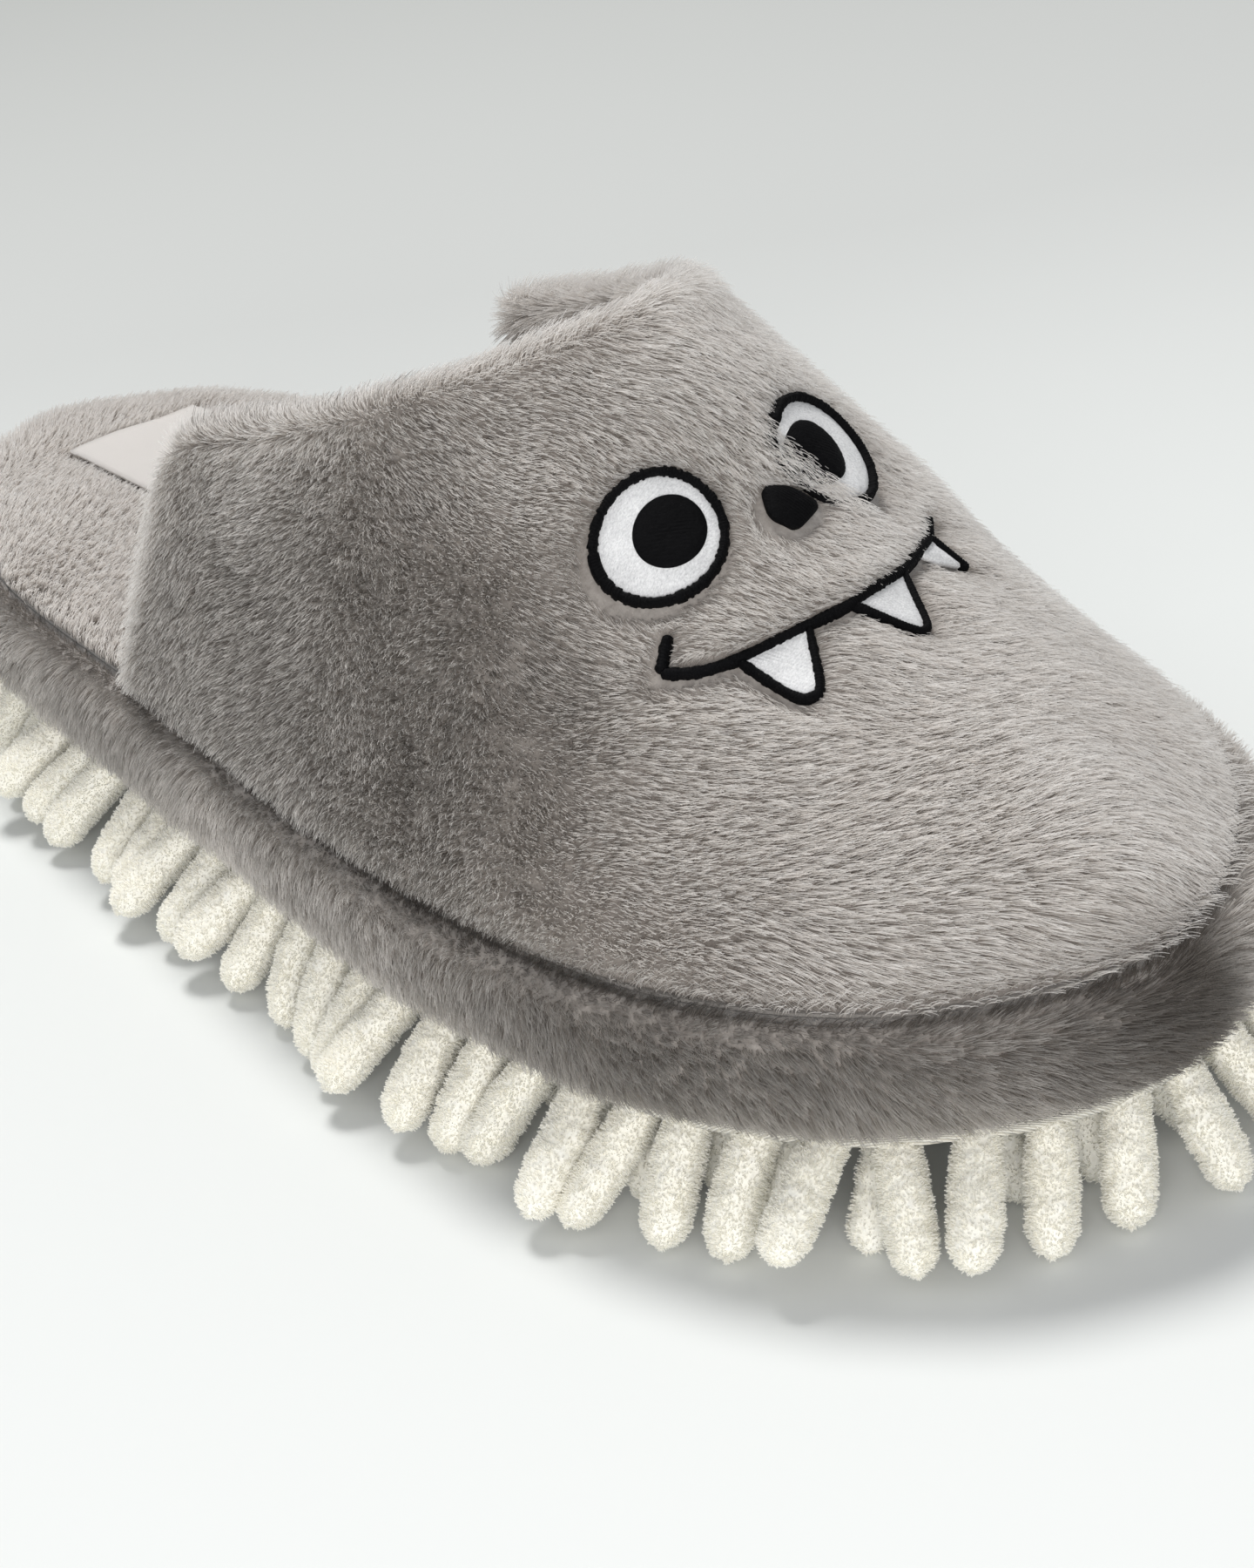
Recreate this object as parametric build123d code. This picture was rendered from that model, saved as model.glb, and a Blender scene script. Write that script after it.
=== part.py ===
from build123d import *
import math
import os
import random

# Plush house slipper (backless mule) on a pull-off chenille mop sole.
# Millimetres. +Z up, toe toward -Y, heel toward +Y, floor at z = 0.
os.makedirs("parts", exist_ok=True)

# ---- driving dimensions -------------------------------------------------
LENGTH = 275.0            # outer length of the plush side band
SEAM_SCALE = 0.97         # seam loop, as a share of the outer outline
Z_CLOTH = 13.6            # underside of the mop backing cloth
T_CLOTH = 1.2
T_LOOP = 1.0
T_HOOK = 1.2
T_OUTSOLE = 2.5
T_MIDSOLE = 6.0
T_BOARD = 1.2
T_FOAM = 3.3
T_COVER = 2.0
WALL_BAND = 4.5           # inner wall of the side band, in from the outline
T_PLUSH = 2.4             # outer fabric of the vamp
T_PAD = 2.2
T_LINING = 1.4
LAYER_GAP = 0.15
Y_TOE = -LENGTH / 2 * SEAM_SCALE
Y_WING = 29.0             # rear edge of the vamp wings
Z_WING = 70.0             # top corner of the wings
Y_THROAT = -53.5          # top edge of the vamp on the instep
TOPLINE_SAG = -9.5
EDGE_TURN = 0.6           # the plush is turned over just inside the edge
EDGE_INSET = 3.0          # padding and lining stop short of the edge
P_FLANK = 1.5             # section shape of the vamp
Q_FLANK = 1.1
FACE_TILT = 42.0          # slope of the instep where the face is sewn
T_EMB = 0.7               # height of the embroidery
STROKE = 1.5
EYE_R = 8.4
EYE_IN = 7.2
PUPIL_R = 4.4
FINGER_R = 3.5            # chenille fingers
PITCH_EDGE = 8.9
PITCH_SECOND = 9.6
PITCH_INNER = 11.5

Z_LOOP = Z_CLOTH + T_CLOTH
Z_HOOK = Z_LOOP + T_LOOP
Z_OUT = Z_HOOK + T_HOOK
Z_MID = Z_OUT + T_OUTSOLE
Z_BOARD = Z_MID + T_MIDSOLE
Z_FOAM = Z_BOARD + T_BOARD
Z_COVER = Z_FOAM + T_FOAM
Z_SEAM = Z_COVER + T_COVER

# half width of the outline against length, toe to heel
OUTLINE = [
    (0.0, -137.5), (28.7, -125.1), (46.3, -99.0), (53.1, -55.0),
    (45.5, 27.5), (38.7, 88.0), (26.3, 121.0), (0.0, 137.5),
]
# height of the instep above the seam against length
RIDGE = [
    (Y_TOE, 0.0), (-129.0, 10.3), (-120.0, 15.0), (-105.0, 20.5), (-88.0, 29.3),
    (-70.0, 45.5), (-54.0, 65.6), (-20.0, 85.5), (32.0, 92.0),
]


# ---- shape helpers ------------------------------------------------------
def mix(a, b, ta, tb, s):
    """Point at s on the straight line from a (at ta) to b (at tb)."""
    u = (s - ta) / (tb - ta)
    return (a[0] + (b[0] - a[0]) * u, a[1] + (b[1] - a[1]) * u)


def catmull(points, steps):
    """Closed centripetal curve through the points."""
    out = []
    count = len(points)
    for i in range(count):
        p0, p1, p2, p3 = [points[(i + k) % count] for k in (-1, 0, 1, 2)]
        t1 = math.dist(p0, p1) ** 0.5
        t2 = t1 + math.dist(p1, p2) ** 0.5
        t3 = t2 + math.dist(p2, p3) ** 0.5
        for k in range(steps):
            s = t1 + (t2 - t1) * k / steps
            a1 = mix(p0, p1, 0.0, t1, s)
            a2 = mix(p1, p2, t1, t2, s)
            a3 = mix(p2, p3, t2, t3, s)
            b1 = mix(a1, a2, 0.0, t2, s)
            b2 = mix(a2, a3, t1, t3, s)
            out.append(mix(b1, b2, t1, t2, s))
    return out


FULL = OUTLINE + [(-x, y) for x, y in OUTLINE[-2:0:-1]]
RING = catmull(FULL, 6)


def interp(x, table):
    """Straight-line lookup in a table sorted by its first column."""
    if x <= table[0][0]:
        return table[0][1]
    for (a, fa), (b, fb) in zip(table, table[1:]):
        if x <= b:
            return fa + (fb - fa) * (x - a) / (b - a)
    return table[-1][1]


SIDE = sorted((y, x) for x, y in catmull(FULL, 40) if x >= -1e-6)


def half_width(y):
    """Half width of the seam loop at y."""
    return SEAM_SCALE * interp(y / SEAM_SCALE, SIDE)


def smooth(x, table):
    """Monotone cubic lookup."""
    x = min(max(x, table[0][0]), table[-1][0])
    slope = []
    for (a, fa), (b, fb) in zip(table, table[1:]):
        slope.append((fb - fa) / (b - a))
    tangent = [slope[0]]
    for s0, s1 in zip(slope, slope[1:]):
        tangent.append(2 * s0 * s1 / (s0 + s1) if s0 * s1 > 0 else 0.0)
    tangent.append(slope[-1])
    for i in range(len(slope)):
        a, fa = table[i]
        b, fb = table[i + 1]
        if x <= b:
            h = b - a
            u = (x - a) / h
            return (
                fa * (1 + 2 * u) * (1 - u) ** 2 + h * tangent[i] * u * (1 - u) ** 2
                + fb * u * u * (3 - 2 * u) - h * tangent[i + 1] * u * u * (1 - u)
            )
    return table[-1][1]


def inset_ring(amount, steps=6):
    """Outline moved inward by a fixed amount."""
    pts = catmull(FULL, steps)
    out = []
    count = len(pts)
    for i in range(count):
        ax, ay = pts[i - 1]
        bx, by = pts[(i + 1) % count]
        dx, dy = bx - ax, by - ay
        size = math.hypot(dx, dy)
        x, y = pts[i]
        out.append((x - amount * dy / size, y + amount * dx / size))
    return out


def ring_face(points, z):
    """Flat face bounded by a smooth closed curve."""
    edge = Spline([Vector(x, y, z) for x, y in points], periodic=True)
    return make_face(edge)


def plate(points, z, thickness):
    return extrude(ring_face(points, z), amount=thickness, dir=(0, 0, 1))


def section(z, shrink):
    """Level slice of the vamp at height z, its walls moved in by shrink."""
    ridge = [(y, h) for y, h in RIDGE]
    top = z - Z_SEAM + shrink
    lo = Y_TOE
    hi = Y_WING + 3.0
    for _ in range(50):
        mid = (lo + hi) / 2
        if smooth(mid, ridge) < top:
            lo = mid
        else:
            hi = mid
    tip = hi + (shrink if top < 14 else shrink * 0.6)
    rear = Y_WING + 3.0
    right = []
    count = 16
    for k in range(1, count + 1):
        y = tip + (rear - tip) * (k / count) ** 1.8
        rise = smooth(y - (tip - hi), ridge)
        r = min(max(top / rise, 0.0), 1.0)
        x = (half_width(min(y, rear)) - 0.9 * shrink) * (1 - r ** Q_FLANK) ** (1 / P_FLANK)
        if shrink and y - tip < 12:
            x = max(x, 0.35)
        right.append((x, y))
    points = [(x, y) for x, y in reversed(right)]
    points += [(0.0, tip)]
    points += [(-x, y) for x, y in right]
    curve = Spline([Vector(x, y, z) for x, y in points])
    base = Line((points[-1][0], points[-1][1], z), (points[0][0], points[0][1], z))
    return make_face(Wire([curve, base]))


LEVELS = [0.0, 2.5, 6.0, 10.5, 16.0, 24.0, 34.0, 46.0, 59.0, 72.0]


def vamp_solid(shrink):
    return loft([section(Z_SEAM + h, shrink) for h in LEVELS])


def topline(y):
    """Height of the opening edge at y, throat to wing."""
    z_throat = Z_SEAM + smooth(Y_THROAT, RIDGE)
    t = (y - Y_THROAT) / (Y_WING - Y_THROAT)
    return z_throat + (Z_WING - z_throat) * t + TOPLINE_SAG * t * (1 - t)


def opening_cut(back):
    """Everything in front of and under the opening edge, less a margin."""
    ys = [Y_THROAT + (Y_WING - Y_THROAT) * k / 8 for k in range(9)]
    rim = [(0, y, topline(y) - back) for y in ys]
    rim[0] = (0, Y_THROAT - back * 0.4, topline(Y_THROAT) - back * 0.6)
    rim[-1] = (0, Y_WING - back, topline(Y_WING) - back)
    peak = (0, rim[0][1], 130)
    toe_top = (0, -160, 130)
    toe_low = (0, -160, Z_SEAM - 5)
    rear_low = (0, Y_WING - back, Z_SEAM - 5)
    loop = Wire([
        Spline([Vector(*p) for p in rim]),
        Line(rim[-1], rear_low),
        Line(rear_low, toe_low),
        Line(toe_low, toe_top),
        Line(toe_top, peak),
        Line(peak, rim[0]),
    ])
    return extrude(make_face(loop), amount=80, dir=(1, 0, 0), both=True)


def save(shape, name):
    solids = shape.solids()
    keep = [s for s in solids if s.volume > 0.02]
    body = keep[0] if len(keep) == 1 else Compound(children=keep)
    body.label = name
    export_step(body, f"parts/{name}.step")
    box = body.bounding_box()
    print(name, len(keep), round(sum(s.volume for s in keep), 1),
          [round(v, 1) for v in (*box.min, *box.max)])


# ---- mop sole -----------------------------------------------------------
save(plate(inset_ring(2.0), Z_CLOTH, T_CLOTH), "mop_base_cloth")
hem = ring_face(inset_ring(2.0), Z_LOOP) - ring_face(inset_ring(5.0), Z_LOOP)
save(extrude(hem, amount=T_LOOP * 0.8, dir=(0, 0, 1)), "mop_edge_hem")
save(plate(inset_ring(6.0), Z_LOOP, T_LOOP), "mop_loop_sheet")


def finger(root, tip):
    """Blunt round rod between two centre points."""
    a = Vector(*root)
    b = Vector(*tip)
    axis = b - a
    size = axis.length
    r = FINGER_R
    c = r * math.sqrt(0.5)
    profile = Wire([
        Line((0, 0, -r), (0, 0, size + r)),
        ThreePointArc((0, 0, size + r), (c, 0, size + c), (r, 0, size)),
        Line((r, 0, size), (r, 0, 0)),
        ThreePointArc((r, 0, 0), (c, 0, -c), (0, 0, -r)),
    ])
    rod = revolve(make_face(profile), axis=Axis.Z)
    frame = Plane(origin=a, z_dir=axis)
    return frame * rod


def perimeter(amount, pitch):
    """Even stations round an inset outline: point and outward direction."""
    pts = inset_ring(amount, 40)
    pts.append(pts[0])
    run = [0.0]
    for a, b in zip(pts, pts[1:]):
        run.append(run[-1] + math.dist(a, b))
    count = int(run[-1] / pitch)
    out = []
    j = 0
    for k in range(count):
        s = run[-1] * (k + 0.5) / count
        while run[j + 1] < s:
            j += 1
        u = (s - run[j]) / (run[j + 1] - run[j])
        (ax, ay), (bx, by) = pts[j], pts[j + 1]
        size = math.dist((ax, ay), (bx, by))
        nx, ny = (by - ay) / size, -(bx - ax) / size
        out.append((ax + (bx - ax) * u, ay + (by - ay) * u, nx, ny))
    return out


Z_ROOT = Z_CLOTH - FINGER_R
Z_TIP = FINGER_R
rng = random.Random(7)
groups = {
    "mop_fingers_toe": [],
    "mop_fingers_right": [],
    "mop_fingers_left": [],
    "mop_fingers_heel": [],
    "mop_fingers_second_row": [],
    "mop_fingers_forefoot": [],
    "mop_fingers_arch": [],
    "mop_fingers_heel_pad": [],
}
for x, y, nx, ny in perimeter(6.0, PITCH_EDGE):
    reach = 10.0 + rng.uniform(-1.0, 1.0)
    lift = rng.uniform(0.0, 0.6)
    root = (x, y, Z_ROOT)
    tip = (x + nx * reach, y + ny * reach, Z_TIP + lift)
    if y < -88:
        group = "mop_fingers_toe"
    elif y > 96:
        group = "mop_fingers_heel"
    elif x < 0:
        group = "mop_fingers_right"
    else:
        group = "mop_fingers_left"
    groups[group].append(finger(root, tip))
for x, y, nx, ny in perimeter(17.0, PITCH_SECOND):
    reach = 3.5 + rng.uniform(-0.7, 0.7)
    root = (x, y, Z_ROOT)
    tip = (x + nx * reach, y + ny * reach, Z_TIP)
    groups["mop_fingers_second_row"].append(finger(root, tip))
row = 0
y = -104.0
while y < 108.0:
    span = interp(y, SIDE) - 27.0
    if abs(y) > 90:
        span -= (abs(y) - 90) * 0.5
    shift = PITCH_INNER / 2 if row % 2 else 0.0
    n = int(max(span, 0.0) / PITCH_INNER)
    for k in range(-n - 1, n + 2):
        x = k * PITCH_INNER + shift
        if abs(x) > span:
            continue
        lean = (rng.uniform(-0.9, 0.9), rng.uniform(-0.9, 0.9))
        tip = (x + lean[0], y + lean[1], Z_TIP)
        name = "mop_fingers_forefoot" if y < -30 else "mop_fingers_arch"
        if y > 45:
            name = "mop_fingers_heel_pad"
        groups[name].append(finger((x, y, Z_ROOT), tip))
    row += 1
    y += PITCH_INNER * 0.87
for name, rods in groups.items():
    save(Compound(children=rods), name)

# ---- slipper bottom -----------------------------------------------------
core = inset_ring(WALL_BAND + 0.2)
save(plate(core, Z_OUT, T_OUTSOLE), "outsole")
save(plate(core, Z_MID, T_MIDSOLE), "midsole")
save(plate(core, Z_BOARD, T_BOARD), "insole_board")
save(plate(core, Z_FOAM, T_FOAM), "insole_foam")
save(plate(inset_ring(WALL_BAND + 0.8), Z_COVER, T_COVER), "insole_cover")

for name, y, length, width in (
    ("hook_patch_toe", -88.0, 34.0, 58.0),
    ("hook_patch_arch", -6.0, 40.0, 60.0),
    ("hook_patch_heel", 90.0, 34.0, 46.0),
):
    patch = Pos(0, y, Z_HOOK) * RectangleRounded(width, length, 5)
    save(extrude(patch, amount=T_HOOK, dir=(0, 0, 1)), name)

height = Z_SEAM - Z_OUT
levels = [(0.0, 3.6), (0.12, 1.8), (0.35, 0.35), (0.62, 0.2), (0.86, 0.8), (1.0, 1.6)]
shell = loft([ring_face(inset_ring(d, 4), Z_OUT + u * height) for u, d in levels])
hollow = plate(inset_ring(WALL_BAND), Z_OUT - 1, height + 2)
save(shell - hollow, "side_band")

thread = ring_face(inset_ring(WALL_BAND + 0.1), Z_COVER)
thread = thread - ring_face(inset_ring(WALL_BAND + 0.7), Z_COVER)
save(extrude(thread, amount=T_COVER, dir=(0, 0, 1)), "seam_thread")

# ---- vamp ---------------------------------------------------------------
walls = []
depth = 0.0
for t in (T_PLUSH, T_PAD, T_LINING):
    walls.append((vamp_solid(depth), vamp_solid(depth + t)))
    depth += t + LAYER_GAP
for name, back, (outer, inner) in zip(
    ("vamp_plush", "vamp_padding", "vamp_lining"), (EDGE_TURN, EDGE_INSET, EDGE_INSET), walls
):
    keep = opening_cut(back)
    save((outer & keep) - (inner & keep), name)

# ---- embroidered face ---------------------------------------------------
tilt = math.radians(FACE_TILT)
face_plane = Plane(
    origin=(0, 0, 0), x_dir=(1, 0, 0), z_dir=(0, -math.sin(tilt), math.cos(tilt))
)
window = Pos(0, -79, 75) * Box(80, 54, 50)
skin = (vamp_solid(-T_EMB) & window) - (walls[0][0] & window)


def stroke(points, width):
    """Flat ribbon of even width along a line, with round ends."""
    shape = None
    for (ax, ay), (bx, by) in zip(points, points[1:]):
        size = math.dist((ax, ay), (bx, by))
        angle = math.degrees(math.atan2(by - ay, bx - ax))
        bar = Pos((ax + bx) / 2, (ay + by) / 2) * Rot(0, 0, angle) * Rectangle(size, width)
        bar += Pos(ax, ay) * Circle(width / 2)
        bar += Pos(bx, by) * Circle(width / 2)
        shape = bar if shape is None else shape + bar
    return shape


def sew(shape, name):
    """Project a flat drawing on to the vamp as a thin raised patch."""
    prism = None
    for f in shape.faces():
        body = extrude(face_plane * f, amount=60, dir=face_plane.z_dir)
        body = Pos(*(face_plane.z_dir * 72)) * body
        prism = body if prism is None else prism + body
    save(skin & prism, name)


EYES = {"right": ((-14.6, -1.0), (-13.3, -1.2)), "left": ((13.6, 0.0), (11.6, 0.0))}
for side, (centre, look) in EYES.items():
    ring = Pos(*centre) * Circle(EYE_R) - Pos(*centre) * Circle(EYE_IN)
    pupil = Pos(*look) * Circle(PUPIL_R)
    white = Pos(*centre) * Circle(EYE_IN) - pupil
    sew(ring, f"eye_ring_{side}")
    sew(white, f"eye_white_{side}")
    sew(pupil, f"eye_pupil_{side}")

NOSE = [(-1.4, -3.4), (3.0, -2.4), (6.5, -6.2), (4.4, -8.4), (0.2, -8.2)]
sew(make_face(Spline([Vector(x, y, 0) for x, y in NOSE], periodic=True)), "nose_patch")

MOUTH = [
    (-23.0, -15.2), (-19.6, -17.7), (-15.0, -19.2), (-10.2, -19.8), (-5.0, -20.2),
    (0.2, -20.4), (5.0, -19.8), (12.6, -18.5), (17.3, -16.8), (22.4, -14.6),
]
mouth = stroke(MOUTH, STROKE)
mouth += stroke([(-19.9, -11.7), (-23.0, -15.2)], STROKE)
mouth += stroke([(25.9, -11.5), (22.4, -14.6)], STROKE)
sew(mouth, "mouth_line")

TEETH = [
    [(-15.2, -19.4), (-12.4, -26.6), (-10.4, -28.0), (-7.6, -26.0), (-6.0, -20.4)],
    [(1.0, -20.6), (3.6, -25.4), (8.2, -26.9), (11.2, -24.6), (12.2, -18.8)],
    [(17.2, -17.0), (21.0, -20.0), (24.6, -20.2), (24.2, -17.4), (22.4, -14.8)],
]
border = None
fill = None
for tooth in TEETH:
    line = stroke(tooth, STROKE * 0.85)
    inside = make_face(Polyline([Vector(x, y, 0) for x, y in tooth], close=True))
    inside = inside - line - mouth
    line = line - mouth
    border = line if border is None else border + line
    fill = inside if fill is None else fill + inside
sew(border, "tooth_outlines")
sew(fill, "tooth_fills")

# ---- label --------------------------------------------------------------
label = Pos(4.5, 90.0, Z_SEAM) * Rot(0, 0, -3) * RectangleRounded(22, 36, 1)
save(extrude(label, amount=0.5, dir=(0, 0, 1)), "insole_label")
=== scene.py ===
import math

import bpy
import numpy as np
from mathutils import Matrix, Vector


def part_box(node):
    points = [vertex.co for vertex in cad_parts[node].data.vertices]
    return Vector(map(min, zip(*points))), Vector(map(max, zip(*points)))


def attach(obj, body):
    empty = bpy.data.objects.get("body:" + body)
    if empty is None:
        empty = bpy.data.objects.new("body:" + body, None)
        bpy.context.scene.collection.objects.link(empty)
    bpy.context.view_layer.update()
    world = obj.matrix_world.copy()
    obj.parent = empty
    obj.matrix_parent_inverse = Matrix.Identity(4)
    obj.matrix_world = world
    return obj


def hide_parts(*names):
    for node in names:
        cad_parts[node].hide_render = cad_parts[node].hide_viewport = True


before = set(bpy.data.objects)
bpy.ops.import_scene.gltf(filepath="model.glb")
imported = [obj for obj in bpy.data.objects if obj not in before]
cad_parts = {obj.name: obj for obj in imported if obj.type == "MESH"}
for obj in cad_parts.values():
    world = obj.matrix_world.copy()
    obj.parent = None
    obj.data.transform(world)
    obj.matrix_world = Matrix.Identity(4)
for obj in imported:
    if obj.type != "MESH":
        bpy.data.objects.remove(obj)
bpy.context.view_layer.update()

# Plush mop slipper. All shapes are worked out in millimetres and stored in metres.
MM = 0.001
HAIR_SHARE = 1.0

# ---- sizes shared with the CAD part ----
SEAM_SCALE = 0.97  # seam line against the outline of the sole
Z_SEAM = 32.0  # height of the seam between vamp and band
HALF_LONG = 137.5
HALF_WIDE = 52.0
Y_TOE = -HALF_LONG * SEAM_SCALE
Y_WING = 29.0  # rear end of the vamp, and the height of the topline there
Z_WING = 70.0
Y_THROAT = -53.5  # front of the foot opening
SAG = -9.5  # bow of the topline between throat and wing
P_FLANK = 1.5  # powers of the vamp's cross-section
Q_FLANK = 1.1
TILT = math.radians(42.0)  # slope of the plane that the face is drawn on
EYE_R = 8.4  # outer and inner radius of an eye ring
EYE_IN = 7.2
PUPIL_R = 4.4
STROKE = 1.5  # width of the mouth line
OUTLINE = [(0.0, -137.5), (28.7, -125.1), (46.3, -99.0), (53.1, -55.0),
           (45.5, 27.5), (38.7, 88.0), (26.3, 121.0), (0.0, 137.5)]
RIDGE = np.array([(Y_TOE, 0.0), (-129.0, 10.3), (-120.0, 15.0), (-105.0, 20.5), (-88.0, 29.3),
                  (-70.0, 45.5), (-54.0, 65.6), (-20.0, 85.5), (32.0, 92.0)])


# ---- shape helpers ----
def catmull(points, steps):
    """Closed centripetal curve through the points, as an array."""
    pts = np.array(points, float)
    out = []
    n = len(pts)
    for i in range(n):
        p0, p1, p2, p3 = [pts[(i + k) % n] for k in (-1, 0, 1, 2)]
        t1 = np.linalg.norm(p1 - p0) ** 0.5
        t2 = t1 + np.linalg.norm(p2 - p1) ** 0.5
        t3 = t2 + np.linalg.norm(p3 - p2) ** 0.5
        s = (t1 + (t2 - t1) * np.arange(steps) / steps)[:, None]
        a1 = p0 + (p1 - p0) * s / t1
        a2 = p1 + (p2 - p1) * (s - t1) / (t2 - t1)
        a3 = p2 + (p3 - p2) * (s - t2) / (t3 - t2)
        b1 = a1 + (a2 - a1) * s / t2
        b2 = a2 + (a3 - a2) * (s - t1) / (t3 - t1)
        out.append(b1 + (b2 - b1) * (s - t1) / (t2 - t1))
    return np.concatenate(out)


FULL = OUTLINE + [(-x, y) for x, y in OUTLINE[-2:0:-1]]
FINE = catmull(FULL, 60)


def clip01(value):
    return np.clip(value, 0, 1)


def resample(points, count, closed=False):
    """Points spaced evenly along a polyline."""
    p = np.vstack([points, points[:1]]) if closed else np.asarray(points)
    run = np.r_[0, np.cumsum(np.linalg.norm(np.diff(p, axis=0), axis=1))]
    s = np.linspace(0, run[-1], count, endpoint=not closed)
    return np.stack([np.interp(s, run, p[:, c]) for c in range(p.shape[1])], -1)


def ring_at(count, inset=0.0):
    """Outline moved inward, with its outward directions."""
    p = resample(FINE, count, closed=True)
    d = np.roll(p, -1, 0) - np.roll(p, 1, 0)
    d /= np.linalg.norm(d, axis=1)[:, None]
    out = np.stack([d[:, 1], -d[:, 0]], -1)
    return p - out * inset, out


_side = FINE[FINE[:, 0] >= -1e-6]
_side = _side[np.argsort(_side[:, 1])]


def half_width(y):
    """Half the width of the seam line at y."""
    return SEAM_SCALE * np.interp(np.asarray(y) / SEAM_SCALE, _side[:, 1], _side[:, 0])


def ridge(y):
    """Monotone cubic through the ridge heights."""
    kx, ky = RIDGE[:, 0], RIDGE[:, 1]
    d = np.diff(ky) / np.diff(kx)
    m = np.r_[d[0], 2 * d[:-1] * d[1:] / (d[:-1] + d[1:]), d[-1]]
    y = np.clip(y, kx[0], kx[-1])
    i = np.clip(np.searchsorted(kx, y) - 1, 0, len(d) - 1)
    h = kx[i + 1] - kx[i]
    u = (y - kx[i]) / h
    return (ky[i] * (1 + 2 * u) * (1 - u) ** 2 + h * m[i] * u * (1 - u) ** 2
            + ky[i + 1] * u * u * (3 - 2 * u) - h * m[i + 1] * u * u * (1 - u))


def vamp_z(x, y):
    """Height of the vamp surface: the ridge, falling to the seam on both sides."""
    s = clip01(np.abs(x) / np.maximum(half_width(y), 1e-6))
    return Z_SEAM + ridge(y) * (1 - s ** P_FLANK) ** (1 / Q_FLANK)


HASH_STEP = 6364136223846793005
HASH_MIX = 0xBF58476D1CE4E5B9


def hash01(*keys):
    """Repeatable value from 0 to 1 for whole-number keys."""
    h = np.zeros_like(np.asarray(keys[0], dtype=np.int64)).astype(np.uint64)
    for k, q in enumerate(keys):
        h = h * np.uint64(HASH_STEP) + np.asarray(q).astype(np.int64).astype(np.uint64)
        h ^= h >> np.uint64(29)
        h = h * np.uint64(HASH_MIX + 2 * k)
        h ^= h >> np.uint64(32)
    return (h >> np.uint64(11)).astype(float) / float(1 << 53)


def noise(p, size, seed=0):
    """Smooth random value from -1 to 1 in space."""
    q = np.asarray(p, float) / size
    i = np.floor(q).astype(np.int64)
    f = q - i
    f = f * f * (3 - 2 * f)
    total = 0.0
    for dx in (0, 1):
        for dy in (0, 1):
            for dz in (0, 1):
                w = (np.where(dx, f[..., 0], 1 - f[..., 0]) * np.where(dy, f[..., 1], 1 - f[..., 1])
                     * np.where(dz, f[..., 2], 1 - f[..., 2]))
                total = total + w * hash01(i[..., 0] + dx, i[..., 1] + dy, i[..., 2] + dz,
                                           i[..., 0] * 0 + seed)
    return total * 2 - 1


def unit(v):
    return v / np.maximum(np.linalg.norm(v, axis=-1, keepdims=True), 1e-9)


def grid_normals(g, closed_u=False):
    """Normals of a (u, w) grid, and its two directions."""
    if closed_u:
        du = np.roll(g, -1, 0) - np.roll(g, 1, 0)
    else:
        du = np.gradient(g, axis=0)
    dw = np.gradient(g, axis=1)
    return unit(np.cross(du, dw)), unit(du), unit(dw)


# ---- materials ----
def new_material(name):
    m = bpy.data.materials.new(name)
    m.use_nodes = True
    nt = m.node_tree
    return m, nt, nt.nodes["Principled BSDF"]


def node(nt, kind, **values):
    n = nt.nodes.new(kind)
    for k, v in values.items():
        if k in n.inputs:
            n.inputs[k].default_value = v
        else:
            setattr(n, k, v)
    return n


def settings(shader, **values):
    """Sets a shader's own sockets; an underscore in a name stands for a space."""
    for k, v in values.items():
        shader.inputs[k.replace("_", " ")].default_value = v


def ramp(nt, source, stops):
    r = nt.nodes.new("ShaderNodeValToRGB")
    e = r.color_ramp.elements
    for k, (pos, col) in enumerate(stops):
        if k > 1:
            e.new(pos)
        e[k].position = pos
        e[k].color = (*col, 1)
    nt.links.new(source, r.inputs["Fac"])
    return r


PATCH_SCALE = 0.06  # broad patches of tone in a cloth: size against its grain, and strength
PATCH_SHARE = 0.35
TONE_LOW, TONE_HIGH = 0.35, 0.95


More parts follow.
